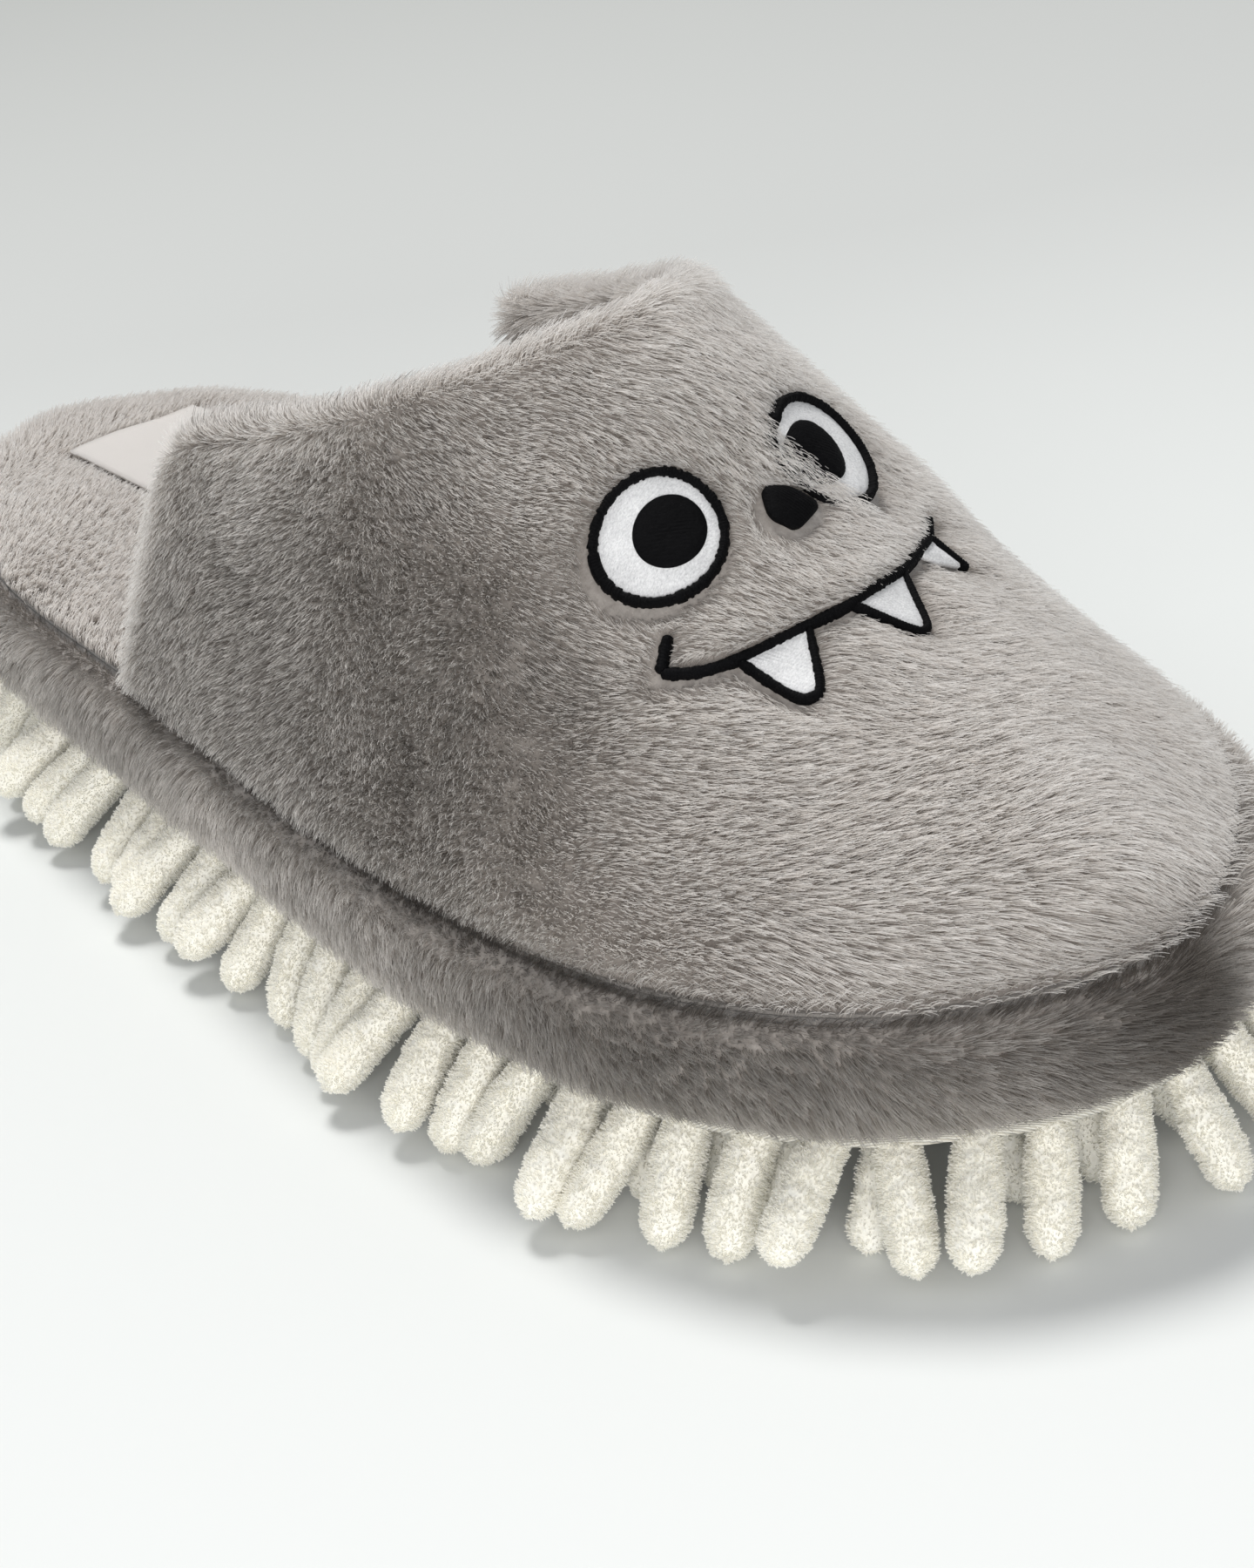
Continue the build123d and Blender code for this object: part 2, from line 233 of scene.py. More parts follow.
def fabric(name, dark, light, scale, rough=0.9, sheen=0.3, bump=0.4, distance=0.0004, stretch=(1, 1, 1),
           kind="noise", spec=0.2):
    """Cloth with two tones, fibre grain and bump."""
    m, nt, b = new_material(name)
    link, tc = nt.links.new, nt.nodes.new("ShaderNodeTexCoord")
    mp = node(nt, "ShaderNodeMapping", Scale=stretch)
    link(tc.outputs["Object"], mp.inputs["Vector"])
    if kind == "weave":
        t = node(nt, "ShaderNodeTexWave", Scale=scale, Distortion=2.0, Detail=2.0)
        t.wave_type = "BANDS"
        t.bands_direction = "DIAGONAL"
    elif kind == "cells":
        t = node(nt, "ShaderNodeTexVoronoi", Scale=scale)
    else:
        t = node(nt, "ShaderNodeTexNoise", Scale=scale, Detail=6.0, Roughness=0.65)
    link(mp.outputs["Vector"], t.inputs["Vector"])
    source = t.outputs["Distance"] if kind == "cells" else t.outputs[0]
    big = node(nt, "ShaderNodeTexNoise", Scale=scale * PATCH_SCALE, Detail=3.0)
    link(tc.outputs["Object"], big.inputs["Vector"])
    both = node(nt, "ShaderNodeMath", operation="MULTIPLY_ADD")
    both.inputs[1].default_value = PATCH_SHARE
    link(big.outputs[0], both.inputs[0])
    link(source, both.inputs[2])
    r = ramp(nt, both.outputs[0], [(TONE_LOW, dark), (TONE_HIGH, light)])
    link(r.outputs[0], b.inputs["Base Color"])
    bp = node(nt, "ShaderNodeBump", Strength=bump, Distance=distance)
    link(source, bp.inputs["Height"])
    link(bp.outputs[0], b.inputs["Normal"])
    settings(b, Roughness=rough, Sheen_Weight=sheen, Sheen_Roughness=0.5, Specular_IOR_Level=spec)
    return m


SHADE_DARK = 0.25  # colour of a fibre of tone 0, against the root colour: the dark end of the painted shade
TONE_TIP = 0.25  # tone at which a fibre has reached its tip colour; lower tones come only from painted shade


def fur_material(name, root, tip, tip_hi, sheen=0.2, glow=0.3, rise=1.15):
    """Pile fibres: dark at the root, pale at the tip, each with its own tone, which also carries painted shade. Light
    shines through by glow.
    """
    m, nt, b = new_material(name)
    link, info = nt.links.new, nt.nodes.new("ShaderNodeHairInfo")
    tone = nt.nodes.new("ShaderNodeAttribute")
    tone.attribute_name = "tone"
    tips = ramp(nt, tone.outputs["Fac"],
                [(0.0, tuple(SHADE_DARK * c for c in root)), (TONE_TIP, tip), (1.0, tip_hi)])
    mix = nt.nodes.new("ShaderNodeMix")
    mix.data_type = "RGBA"
    curve = node(nt, "ShaderNodeMath", operation="POWER")
    curve.inputs[1].default_value = rise
    link(info.outputs["Intercept"], curve.inputs[0])
    link(curve.outputs[0], mix.inputs["Factor"])
    mix.inputs[6].default_value = (*root, 1)
    link(tips.outputs[0], mix.inputs[7])
    link(mix.outputs[2], b.inputs["Base Color"])
    settings(b, Roughness=0.75, Specular_IOR_Level=0.25, Sheen_Weight=sheen)
    through = nt.nodes.new("ShaderNodeBsdfTranslucent")
    link(mix.outputs[2], through.inputs["Color"])
    both = nt.nodes.new("ShaderNodeMixShader")
    both.inputs[0].default_value = glow
    link(b.outputs[0], both.inputs[1])
    link(through.outputs[0], both.inputs[2])
    link(both.outputs[0], nt.nodes["Material Output"].inputs["Surface"])
    return m


PLUSH = fabric("plush_base", (0.17, 0.15, 0.135), (0.42, 0.385, 0.355), 900, sheen=0.5, bump=0.6)
FUR = fur_material("plush_fur", (0.42, 0.375, 0.335), (0.88, 0.85, 0.82), (0.99, 0.98, 0.965), 0.1, 0.62, 0.6)
CHENILLE = fabric("chenille", (0.86, 0.83, 0.73), (0.98, 0.97, 0.915), 1300, sheen=0.3, bump=0.6)
CHENILLE_FUZZ = fur_material("chenille_fuzz", (0.90, 0.875, 0.79), (0.97, 0.955, 0.90), (0.99, 0.985, 0.96), 0.1, 0.5)
MOP_CLOTH = fabric("mop_cloth", (0.55, 0.52, 0.44), (0.80, 0.78, 0.70), 1400, bump=0.7, kind="weave")
BLACK = fabric("black_thread", (0.0005, 0.0005, 0.0005), (0.006, 0.006, 0.007), 2600, rough=0.6, sheen=0.0, spec=0.05,
               bump=0.8, distance=0.0002, stretch=(1, 1, 3))
WHITE = fabric("white_thread", (0.42, 0.42, 0.43), (0.95, 0.95, 0.95), 2600, rough=0.6, sheen=0.2,
               bump=0.6, distance=0.0002, stretch=(1, 2.2, 1))
THREAD = fabric("grey_thread", (0.12, 0.11, 0.10), (0.30, 0.28, 0.26), 3000, bump=0.6)
FOAM = fabric("foam", (0.70, 0.68, 0.62), (0.86, 0.85, 0.80), 2500, sheen=0.1, bump=0.5, kind="cells")
BOARD = fabric("fibre_board", (0.30, 0.23, 0.15), (0.52, 0.43, 0.31), 1200, sheen=0.1)
UNDER = fabric("bottom_cloth", (0.12, 0.11, 0.10), (0.28, 0.26, 0.24), 1600, kind="weave")
LOOPS = fabric("loop_cloth", (0.50, 0.48, 0.43), (0.80, 0.78, 0.73), 1800, sheen=0.5, bump=0.9)
HOOKS = fabric("hook_tape", (0.02, 0.02, 0.022), (0.10, 0.10, 0.11), 1100, rough=0.5, sheen=0.0,
               bump=1.0, kind="cells")
LABEL = fabric("label_cloth", (0.70, 0.66, 0.62), (0.84, 0.80, 0.765), 2600, rough=0.7, bump=0.5, kind="weave")

# ---- builders ----
def add_object(name, data):
    ob = bpy.data.objects.new(name, data)
    bpy.context.scene.collection.objects.link(ob)
    return ob


def place(name, data, body):
    ob = add_object(name, data)
    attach(ob, body)
    return ob


def add_mesh(name, verts, faces, body, material, nodes=()):
    me = bpy.data.meshes.new(name)
    me.from_pydata((np.asarray(verts) * MM).tolist(), [], [list(map(int, f)) for f in faces])
    me.validate()
    me.polygons.foreach_set("use_smooth", [True] * len(me.polygons))
    me.materials.append(material)
    ob = place(name, me, body)
    if nodes:
        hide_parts(*nodes)
    return ob


def grid_faces(nu, nw, closed_u=False, offset=0, flip=False):
    iu = np.arange(nu if closed_u else nu - 1)
    iw = np.arange(nw - 1)
    a, b = np.meshgrid(iu, iw, indexing="ij")
    a2 = (a + 1) % nu
    f = np.stack([a * nw + b, a2 * nw + b, a2 * nw + b + 1, a * nw + b + 1], -1).reshape(-1, 4) + offset
    return f[:, ::-1] if flip else f


def tube_faces(n, m, closed_u=False, offset=0):
    """Faces of an (n, m) grid whose last line is joined to its first."""
    i = np.arange(n if closed_u else n - 1)
    j = (i + 1) % n
    join = np.stack([i * m + m - 1, j * m + m - 1, j * m, i * m], -1) + offset
    return np.concatenate([grid_faces(n, m, closed_u, offset), join])


def weld(ob, distance):
    ob.modifiers.new("weld", "WELD").merge_threshold = distance


def add_hair(name, pos, radii, tone, material, body):
    """Stores fibres, an array (fibre, point, xyz) in millimetres, as hair curves."""
    n, points = pos.shape[:2]
    hc = bpy.data.hair_curves.new(name)
    hc.add_curves([points] * n)
    hc.attributes["position"].data.foreach_set("vector", (pos * MM).astype(np.float32).ravel())
    ra = hc.attributes.get("radius") or hc.attributes.new("radius", "FLOAT", "POINT")
    ra.data.foreach_set("value", radii.astype(np.float32).ravel())
    # tone of each fibre, painted shade included
    ta = hc.attributes.new("tone", "FLOAT", "CURVE")
    ta.data.foreach_set("value", tone.astype(np.float32))
    hc.materials.append(material)
    place(name, hc, body)


HAIR_R = 0.062  # usual radius of a pile fibre
ROOT_DEPTH = 0.3  # how far a fibre starts under the surface
TIP_THIN = 0.35  # radius at the tip against the root
TIP_JIG = 0.36  # random offset of the tip
LEAN_LOW, LEAN_HIGH = 0.05, 1.15
MIN_SCALE = 0.02  # fibres shorter than this share of their length are left out


def pile(name, g, density, length, comb, closed_u=False, lie=0.75, radius=HAIR_R,
         clump=1.5, pull=0.55, mask=None, turn=0.5, points=5, flip=False, seed=0, wander=26.0):
    """Grows fibres from a (u, w) grid of points in millimetres, combed and gathered into tufts.

    comb is the way they lie and lie how far they lean, each a value or a function of the root points.
    mask gives each root its length, a push on the comb and a shade.
    """
    if closed_u:
        g = np.concatenate([g, g[:1]])
    a, b, c, d = g[:-1, :-1], g[1:, :-1], g[1:, 1:], g[:-1, 1:]
    area = 0.5 * np.linalg.norm(np.cross(c - a, d - b), axis=-1)
    cum = np.cumsum(area.ravel())
    r = np.random.default_rng(seed + 101)
    n = int(cum[-1] * density * HAIR_SHARE)
    cell = np.searchsorted(cum, r.random(n) * cum[-1])
    cell = np.minimum(cell, len(cum) - 1)
    iu, iw = np.unravel_index(cell, area.shape)
    fu, fw = r.random(n), r.random(n)
    nrm, tu, tw = grid_normals(g)
    if flip:
        nrm = -nrm

    def at(field):
        return (field[iu, iw] * ((1 - fu) * (1 - fw))[:, None] + field[iu + 1, iw] * (fu * (1 - fw))[:, None]
                + field[iu + 1, iw + 1] * (fu * fw)[:, None] + field[iu, iw + 1] * ((1 - fu) * fw)[:, None])

    root = at(g)
    nn = unit(at(nrm))
    du = unit(at(tu))
    dw = unit(at(tw))
    size = np.full(n, float(length)) * (0.72 + 0.5 * r.random(n))
    push, shade = np.zeros_like(root), np.ones(n)
    if mask is not None:
        scale, push, shade = mask(root)
        keep = scale > MIN_SCALE
        root, nn, du, dw, size, scale, push, shade, iu, iw, fu, fw = (
            field[keep] for field in (root, nn, du, dw, size, scale, push, shade, iu, iw, fu, fw))
        size = size * scale
        n = len(root)
    want = comb(root) if callable(comb) else np.broadcast_to(np.array(comb, float), root.shape)
    want = want + push
    side = np.cross(nn, want)
    angle = turn * (noise(root, wander, seed + 1) + 0.45 * noise(root, wander * 0.3, seed + 2)
                    + 0.35 * (r.random(n) - 0.5))[:, None]
    want = unit(want) * np.cos(angle) + unit(side) * np.sin(angle)
    want = unit(want - nn * np.sum(want * nn, -1, keepdims=True))
    lean = lie(root) if callable(lie) else lie
    lay = np.clip(lean * (1 + 0.30 * noise(root, wander * 0.6, seed + 3) + 0.35 * (r.random(n) - 0.5)),
                  LEAN_LOW, LEAN_HIGH)
    # tufts: each fibre leans to the nearest of a jittered grid of centres
    ju = np.r_[0, np.cumsum(np.linalg.norm(np.diff(g, axis=0), axis=-1).mean(1))]
    jw = np.r_[0, np.cumsum(np.linalg.norm(np.diff(g, axis=1), axis=-1).mean(0))]
    su = ju[iu] + fu * (ju[iu + 1] - ju[iu])
    sw = jw[iw] + fw * (jw[iw + 1] - jw[iw])
    ci, cj = np.floor(su / clump).astype(int), np.floor(sw / clump).astype(int)
    best = np.full(n, 1e9)
    bu, bw, tone = np.zeros(n), np.zeros(n), np.zeros(n)
    for di in (-1, 0, 1):
        for dj in (-1, 0, 1):
            ki, kj = ci + di, cj + dj
            pu = (ki + hash01(ki, kj, ki * 0 + 5 + seed)) * clump
            pw = (kj + hash01(ki, kj, ki * 0 + 6 + seed)) * clump
            dist = (pu - su) ** 2 + (pw - sw) ** 2
            m = dist < best
            best = np.where(m, dist, best)
            bu, bw = np.where(m, pu - su, bu), np.where(m, pw - sw, bw)
            tone = np.where(m, hash01(ki, kj, ki * 0 + 7 + seed), tone)
    gather = du * bu[:, None] + dw * bw[:, None]
    steps = points - 1
    pos = np.zeros((n, points, 3))
    pos[:, 0] = root - nn * ROOT_DEPTH
    for k in range(steps):
        phi = lay * (0.35 + 1.05 * (k + 0.5) / steps)
        step = (size / steps)[:, None] * (np.cos(phi)[:, None] * nn + np.sin(phi)[:, None] * want)
        pos[:, k + 1] = pos[:, k] + step
    for k in range(1, points):
        pos[:, k] += gather * pull * (k / steps) ** 1.4
    jig = (r.random((n, 3)) - 0.5) * TIP_JIG
    pos[:, -1] += jig
    pos[:, -2] += jig * 0.4
    radii = radius * MM * np.linspace(1.0, TIP_THIN, points)[None, :] * (0.8 + 0.4 * r.random(n))[:, None]
    patch = 0.16 * noise(root, 34, seed + 8) + 0.10 * noise(root, 11, seed + 9)
    own = 0.25 + 0.75 * clip01(0.4 * tone + 0.6 * r.random(n) + patch)
    # a fibre's tone: its own random tone, times the painted shade from the mask
    add_hair(name, pos, radii, own * shade, FUR, "slipper")


# ---- embroidered face, as flat drawings on a plane across the instep ----
EYES = {"right": ((-14.6, -1.0), (-13.3, -1.2)), "left": ((13.6, 0.0), (11.6, 0.0))}
NOSE = [(-0.6, -2.0), (3.8, -3.2), (7.0, -7.0), (0.8, -9.2), (-2.0, -6.0)]
MOUTH = [(-23.0, -15.2), (-19.6, -17.7), (-15.0, -19.2), (-10.2, -19.8), (-5.0, -20.2),
         (0.2, -20.4), (5.0, -19.8), (12.6, -18.5), (17.3, -16.8), (22.4, -14.6)]
TICKS = [[(-19.9, -11.7), (-23.0, -15.2)], [(25.9, -11.5), (22.4, -14.6)]]
TEETH = [[(-15.2, -19.4), (-12.9, -26.6), (-11.2, -28.2), (-9.4, -27.2), (-6.0, -20.4)],
         [(1.0, -20.6), (6.2, -26.6), (8.2, -27.3), (9.6, -25.8), (12.2, -18.8)],
         [(17.6, -16.8), (20.4, -18.6), (25.0, -19.8), (24.0, -17.0), (22.4, -14.8)]]
TOOTH_LINES = TEETH[:2] + [[(22.4, -14.6), (25.4, -20.4)]]
TUCK_DIR = np.array([-0.9, -0.42])  # side of the left eye that sinks into the pile
FACE_FRONT, FACE_REAR, FACE_LOW = -110, -52, 44
BARE = 0.3  # gap without pile beside the stitches
FACE_N = np.array([0.0, -math.sin(TILT), math.cos(TILT)])
FACE_V = np.array([0.0, math.cos(TILT), math.sin(TILT)])


def soften(points, rounds=3):
    """Closed polygon with its corners cut off, again and again."""
    p = np.array(points, float)
    for _ in range(rounds):
        q = np.roll(p, -1, 0)
        p = np.stack([0.82 * p + 0.18 * q, 0.18 * p + 0.82 * q], 1).reshape(-1, 2)
    return p


NOSE_LOOP = soften(NOSE)


def face_uv(p):
    """Place of a point in the drawing on the face plane."""
    return np.stack([p[..., 0], p @ FACE_V], -1)


def on_vamp(uv):
    """Points of the vamp surface under a drawing on the face plane, and the normals there."""
    base = np.zeros(uv.shape[:-1] + (3,))
    base[..., 0] = uv[..., 0]
    base = base + uv[..., 1:2] * FACE_V
    lo = np.full(uv.shape[:-1], 70.0)
    hi = np.full(uv.shape[:-1], 125.0)
    for _ in range(40):
        mid = (lo + hi) / 2
        p = base + mid[..., None] * FACE_N
        above = p[..., 2] > vamp_z(p[..., 0], p[..., 1])
        hi = np.where(above, mid, hi)
        lo = np.where(above, lo, mid)
    p = base + lo[..., None] * FACE_N
    x, y, e = p[..., 0], p[..., 1], 0.3
    zx = (vamp_z(x + e, y) - vamp_z(x - e, y)) / (2 * e)
    zy = (vamp_z(x, y + e) - vamp_z(x, y - e)) / (2 * e)
    n = unit(np.stack([-zx, -zy, np.ones_like(zx)], -1))
    return p, n


def seg_distance(uv, line):
    """Distance from points to a polyline, and the direction away from it."""
    best = np.full(uv.shape[0], 1e9)
    away = np.zeros_like(uv)
    for a, b in zip(line[:-1], line[1:]):
        a, b = np.array(a, float), np.array(b, float)
        t = clip01(((uv - a) @ (b - a)) / max((b - a) @ (b - a), 1e-9))
        v = uv - (a + t[:, None] * (b - a))
        d = np.linalg.norm(v, axis=1)
        m = d < best
        best = np.where(m, d, best)
        away = np.where(m[:, None], v, away)
    return best, unit(away)


def inside(uv, loop):
    """Whether each point lies in the closed loop."""
    x, y = uv[:, 0], uv[:, 1]
    odd = np.zeros(len(uv), bool)
    for (ax, ay), (bx, by) in zip(loop, list(loop[1:]) + [loop[0]]):
        if ay == by:
            continue
        cross = ((ay > y) != (by > y)) & (x < (bx - ax) * (y - ay) / (by - ay) + ax)
        odd ^= cross
    return odd


def face_mask(root):
    """Vamp pile: its length and parting near the embroidery, and painted shade beside the embroidery, on the flank
    and in the seam.
    """
    uv = face_uv(root)
    scale = np.ones(len(uv))
    push = np.zeros((len(uv), 3))
    near = (root[:, 1] < FACE_REAR) & (root[:, 1] > FACE_FRONT) & (root[:, 2] > FACE_LOW)
    q = uv[near]
    gap = np.full(len(q), 1e9)
    away = np.zeros_like(q)

    def merge(d, v):
        nonlocal gap, away
        m = d < gap
        gap = np.where(m, d, gap)
        away = np.where(m[:, None], v, away)

    for side, (centre, _) in EYES.items():
        v = q - np.array(centre)
        r = np.linalg.norm(v, axis=1)
        away_eye = v / np.maximum(r, 1e-6)[:, None]
        d = r - EYE_R
        if side == "left":
            d = np.where((v @ TUCK_DIR > 3.2) & (r > 3.0), 6.0, d)
        merge(d, away_eye)
    for line in [MOUTH] + TICKS:
        d, v = seg_distance(q, line)
        merge(d - STROKE / 2, v)
    for loop in [[tuple(p) for p in NOSE_LOOP]] + TEETH:
        d, v = seg_distance(q, list(loop) + [loop[0]])
        d = np.where(inside(q, loop), -d, d - 0.5)
        merge(d, v)
    scale[near] = np.where(gap < BARE, 0.0, clip01(0.50 + 0.50 * (gap - BARE) / 4.0))
    # painted shade in the pile right beside the stitches
    stitch_shade = np.ones(len(uv))
    stitch_shade[near] = np.clip(0.30 + gap / 2.4, 0.30, 1)
    w = clip01(1 - gap / 2.6)[:, None]
    push[near] = np.stack([away[:, 0], away[:, 1] * FACE_V[1], away[:, 1] * FACE_V[2]], -1) * w * 0.9
    # painted shade: the near flank is darker and speckled, up to a lighter strip along the rear edge where the
    # painted shade stops
    up = root[:, 2] - Z_SEAM
    flank_shade = (clip01((-root[:, 0] - 17 + 7 * noise(root, 26, 55)) / 16)
           * clip01((root[:, 1] + 82) / 30))
    rear = Y_WING + 5.0 - 7.0 * clip01(up / 36.0)
    flank_shade = flank_shade * clip01((rear - 3.2 - root[:, 1]) / 1.6)
    # the pile is short in the seam, and painted shade darkens it there, less so on the far side
    seam_far = 0.5 * clip01((root[:, 0] - 10) / 20)
    speck = hash01(*(np.floor(root * 97.0).astype(int)).T)
    shade = np.clip(0.10 + seam_far + up / 0.9, 0.10, 1) * np.where(speck < 0.42 * flank_shade, 0.12, 1 - 0.58 * flank_shade)
    return scale * np.clip(0.42 + up / 4.5, 0.42, 1), push, shade * stitch_shade


# ---- vamp ----
NU = 520
NW = 112
T_WALL = 5.6  # padded wall of the upper
RIM_LINES = 6  # lines across a rounded edge
CORNER_NEAR, CORNER_FAR = 1.0, 3.5


def topline_z(y):
    """Height of the edge of the foot opening."""
    zt = Z_SEAM + ridge(np.array(Y_THROAT))
    t = (y - Y_THROAT) / (Y_WING - Y_THROAT)
    return zt + (Z_WING - zt) * t + SAG * t * (1 - t)


def vamp_grid(nu, nw):
    """Outer face of the vamp: u runs along the seam from wing to wing, w from the seam up."""
    loop = np.roll(FINE, -int(np.argmax(FINE[:, 1])), 0) * SEAM_SCALE
    low = loop[loop[:, 1] <= Y_WING]
    if low[0, 0] > 0:
        low = low[::-1]
    ends = half_width(Y_WING)
    low = np.vstack([[-ends, Y_WING], low, [ends, Y_WING]])
    s = resample(low, nu)
    yy = np.linspace(Y_WING, Y_THROAT, 200)
    r = clip01((topline_z(yy) - Z_SEAM) / ridge(yy))
    xx = half_width(yy) * (1 - r ** Q_FLANK) ** (1 / P_FLANK)
    top = np.vstack([np.stack([-xx, yy, topline_z(yy)], -1), np.stack([xx, yy, topline_z(yy)], -1)[::-1][1:]])
    t = resample(top, nu)[:, :2]
    k = np.linspace(0, 1, 160)
    g = np.zeros((nu, nw, 3))
    for i in range(nu):
        xy = s[i] + (t[i] - s[i]) * k[:, None]
        z = vamp_z(xy[:, 0], xy[:, 1])
        g[i] = resample(np.column_stack([xy, z]), nw)
    # rear edges lean forward, their top corners are rounded, and the topline is a little lower
    u, w = np.arange(nu), np.linspace(0, 1, nw)
    from_end = np.minimum(u, nu - 1 - u)
    reach = np.exp(-from_end / (nu * 0.045))[:, None]
    g[..., 1] += reach * (5.0 - 7.0 * w)[None, :]
    corner = np.exp(-(from_end / (nu * 0.022)) ** 2)[:, None]
    drop = CORNER_NEAR + (CORNER_FAR - CORNER_NEAR) * (u > nu / 2)[:, None]
    g[..., 2] -= drop * corner * (w ** 7)[None, :]
    g[..., 2] -= 2.0 * (w ** 4)[None, :]
    return g


outer = vamp_grid(NU, NW)
v_n = grid_normals(outer)[0]
if v_n[NU // 2, NW // 2, 2] < 0:
    v_n = -v_n
height = np.linalg.norm(np.diff(outer, axis=1), axis=-1)
height = np.concatenate([np.zeros((NU, 1)), np.cumsum(height, 1)], 1)
# the skin swells from the seam, but stays under the CAD surface, where the tips of the pile come to
dip = 1.6 * np.exp(-((outer[..., 1] + 45) / 22) ** 2) * clip01((outer[..., 2] - 60) / 25)
puff = 1.3 * (1 - np.exp(-height / 3.0)) - 3.1 - dip
soft = 0.8 * noise(outer, 34, 3) + 0.35 * noise(outer, 13, 4)
skin = outer + v_n * (puff + soft * clip01(height / 12))[..., None]
inner = skin - v_n * T_WALL
inner[..., 2] = np.maximum(inner[..., 2], Z_SEAM + 0.3)


def bridge(a, b, out, steps=RIM_LINES - 1):
    """Half-round edge strip from line a to line b, bulging along out."""
    c = (a + b) / 2
    half = np.linalg.norm(b - a, axis=-1, keepdims=True) / 2
    n = unit(a - b)
    rows = []
    for k in range(steps + 1):
        f = math.pi * k / steps
        rows.append(c + half * (math.cos(f) * n + math.sin(f) * out))
    return np.stack(rows, 1)


top_out = unit(skin[:, -1] - skin[:, -3])
rear_a = unit(skin[0] - skin[3])
rear_b = unit(skin[-1] - skin[-4])
rim_top = bridge(skin[:, -1], inner[:, -1], top_out)
rim_a = bridge(skin[0], inner[0], rear_a)
rim_b = bridge(skin[-1], inner[-1], rear_b)

verts = [g.reshape(-1, 3) for g in (skin, inner, rim_top, rim_a, rim_b)]
faces = [grid_faces(NU, NW), grid_faces(NU, NW, offset=NU * NW, flip=True)]
base = 2 * NU * NW
faces.append(grid_faces(NU, RIM_LINES, offset=base))
base += NU * RIM_LINES
faces.append(grid_faces(NW, RIM_LINES, offset=base, flip=True))
base += NW * RIM_LINES
faces.append(grid_faces(NW, RIM_LINES, offset=base))
i = np.arange(NU - 1)
faces.append(np.stack([i * NW, i * NW + NU * NW, (i + 1) * NW + NU * NW, (i + 1) * NW], -1))


def clumps(p, stretch=(1.0, 0.45, 1.0), size=2.2, seed=21):
    """Height of the tufts of the pile, for the base meshes."""
    q = p * np.array(stretch)
    return np.abs(noise(q, size, seed)) + 0.5 * np.abs(noise(q, size * 0.5, seed + 1))


flat = clip01((face_mask(skin.reshape(-1, 3))[0].reshape(NU, NW) - 0.45) / 0.4)
bump = (clumps(skin) * 0.9 * flat)[..., None] * v_n
verts[0] = (skin + bump * clip01(height / 3)[..., None]).reshape(-1, 3)
vamp = add_mesh("vamp_plush", np.concatenate(verts), np.concatenate(faces), "slipper", PLUSH,
                ("vamp_plush", "vamp_padding", "vamp_lining"))
weld(vamp, 0.00005)


def vamp_comb(p):
    """Toward the toe, a little down and to the far side."""
    c = np.zeros_like(p)
    c[:, 0] = 0.38 + 0.25 * noise(p, 60, 31)
    c[:, 1] = -0.9
    c[:, 2] = -0.30 + 0.3 * noise(p, 45, 32)
    return c


def vamp_lie(p):
    """More upright on the near flank, flatter over the instep and the toe."""
    flank = clip01((-p[:, 0] - 8) / 25) * clip01((p[:, 1] + 105) / 30)
    return 1.02 - 0.34 * flank


def even_mask(shade):
    """Pile of full length, all of one shade."""
    return lambda root: (np.ones(len(root)), np.zeros_like(root), np.full(len(root), shade))


# painted shade: dark on the pile inside the foot opening, less dark on the top edge's inner side and the far wing's
# rear edge
INSIDE_SHADE, RIM_SHADE = even_mask(0.28), even_mask(0.6)


pile("fur_vamp", np.concatenate([skin, rim_top[:, 1:4]], 1), 9.5, 4.2, vamp_comb, mask=face_mask,
     lie=vamp_lie, seed=1, clump=1.15, pull=0.38)
pile("fur_inside", inner, 4.0, 3.6, (0, 0.3, -1), flip=True, lie=0.7, seed=2, radius=0.08,
     mask=INSIDE_SHADE)
pile("fur_rim", rim_top[:, 2:], 13.0, 3.2, (0, 0.2, -1), lie=0.30, mask=RIM_SHADE, seed=3)
pile("fur_rim_a", rim_a, 14.0, 3.3, (0, 0.1, -1), lie=0.28, seed=4, flip=True)
pile("fur_rim_b", rim_b, 14.0, 3.3, (0, 0.1, -1), lie=0.28, seed=5, mask=RIM_SHADE)

# ---- side band ----
NB = 700
BAND_BACK = 4.45  # inset of the band's inner face, and its heights
BACK_LEVELS = (31.6, 24.0, 17.0)
# (inset, height) of the round outer face, from the bottom up
PROFILE = [(4.2, 17.6), (3.0, 17.7), (2.1, 18.6), (1.3, 20.2), (0.9, 22.5), (0.8, 25.0), (1.0, 27.0), (1.7, 28.9),
           (2.9, 30.2), (4.0, 30.6), (4.4, 30.4)]
prof = catmull(PROFILE + [(6.0, 24.0)], 4)[: 4 * (len(PROFILE) - 1) + 1]
edge, outward = ring_at(NB)
band = np.zeros((NB, len(prof), 3))
band[..., :2] = edge[:, None] - outward[:, None] * prof[None, :, 0:1]
band[..., 2] = prof[None, :, 1]
b_n, _, _ = grid_normals(band, closed_u=True)
if (b_n[0, len(prof) // 2, :2] @ outward[0]) < 0:
    b_n = -b_n
w_band = np.sin(np.linspace(0, math.pi, len(prof)))[None, :]
band = band + b_n * (w_band * (0.5 * noise(band, 16, 41) + 0.3 * noise(band, 6, 42)))[..., None]
band_skin = band + b_n * (w_band * clumps(band, (0.7, 0.7, 1.2), 2.0, 51) * 0.8)[..., None]
back = ring_at(NB, BAND_BACK)[0]
back = np.stack([np.column_stack([back, np.full(NB, z)]) for z in BACK_LEVELS], 1)
closed = np.concatenate([band_skin, back], 1)
nbw = closed.shape[1]
bf = tube_faces(NB, nbw, closed_u=True)
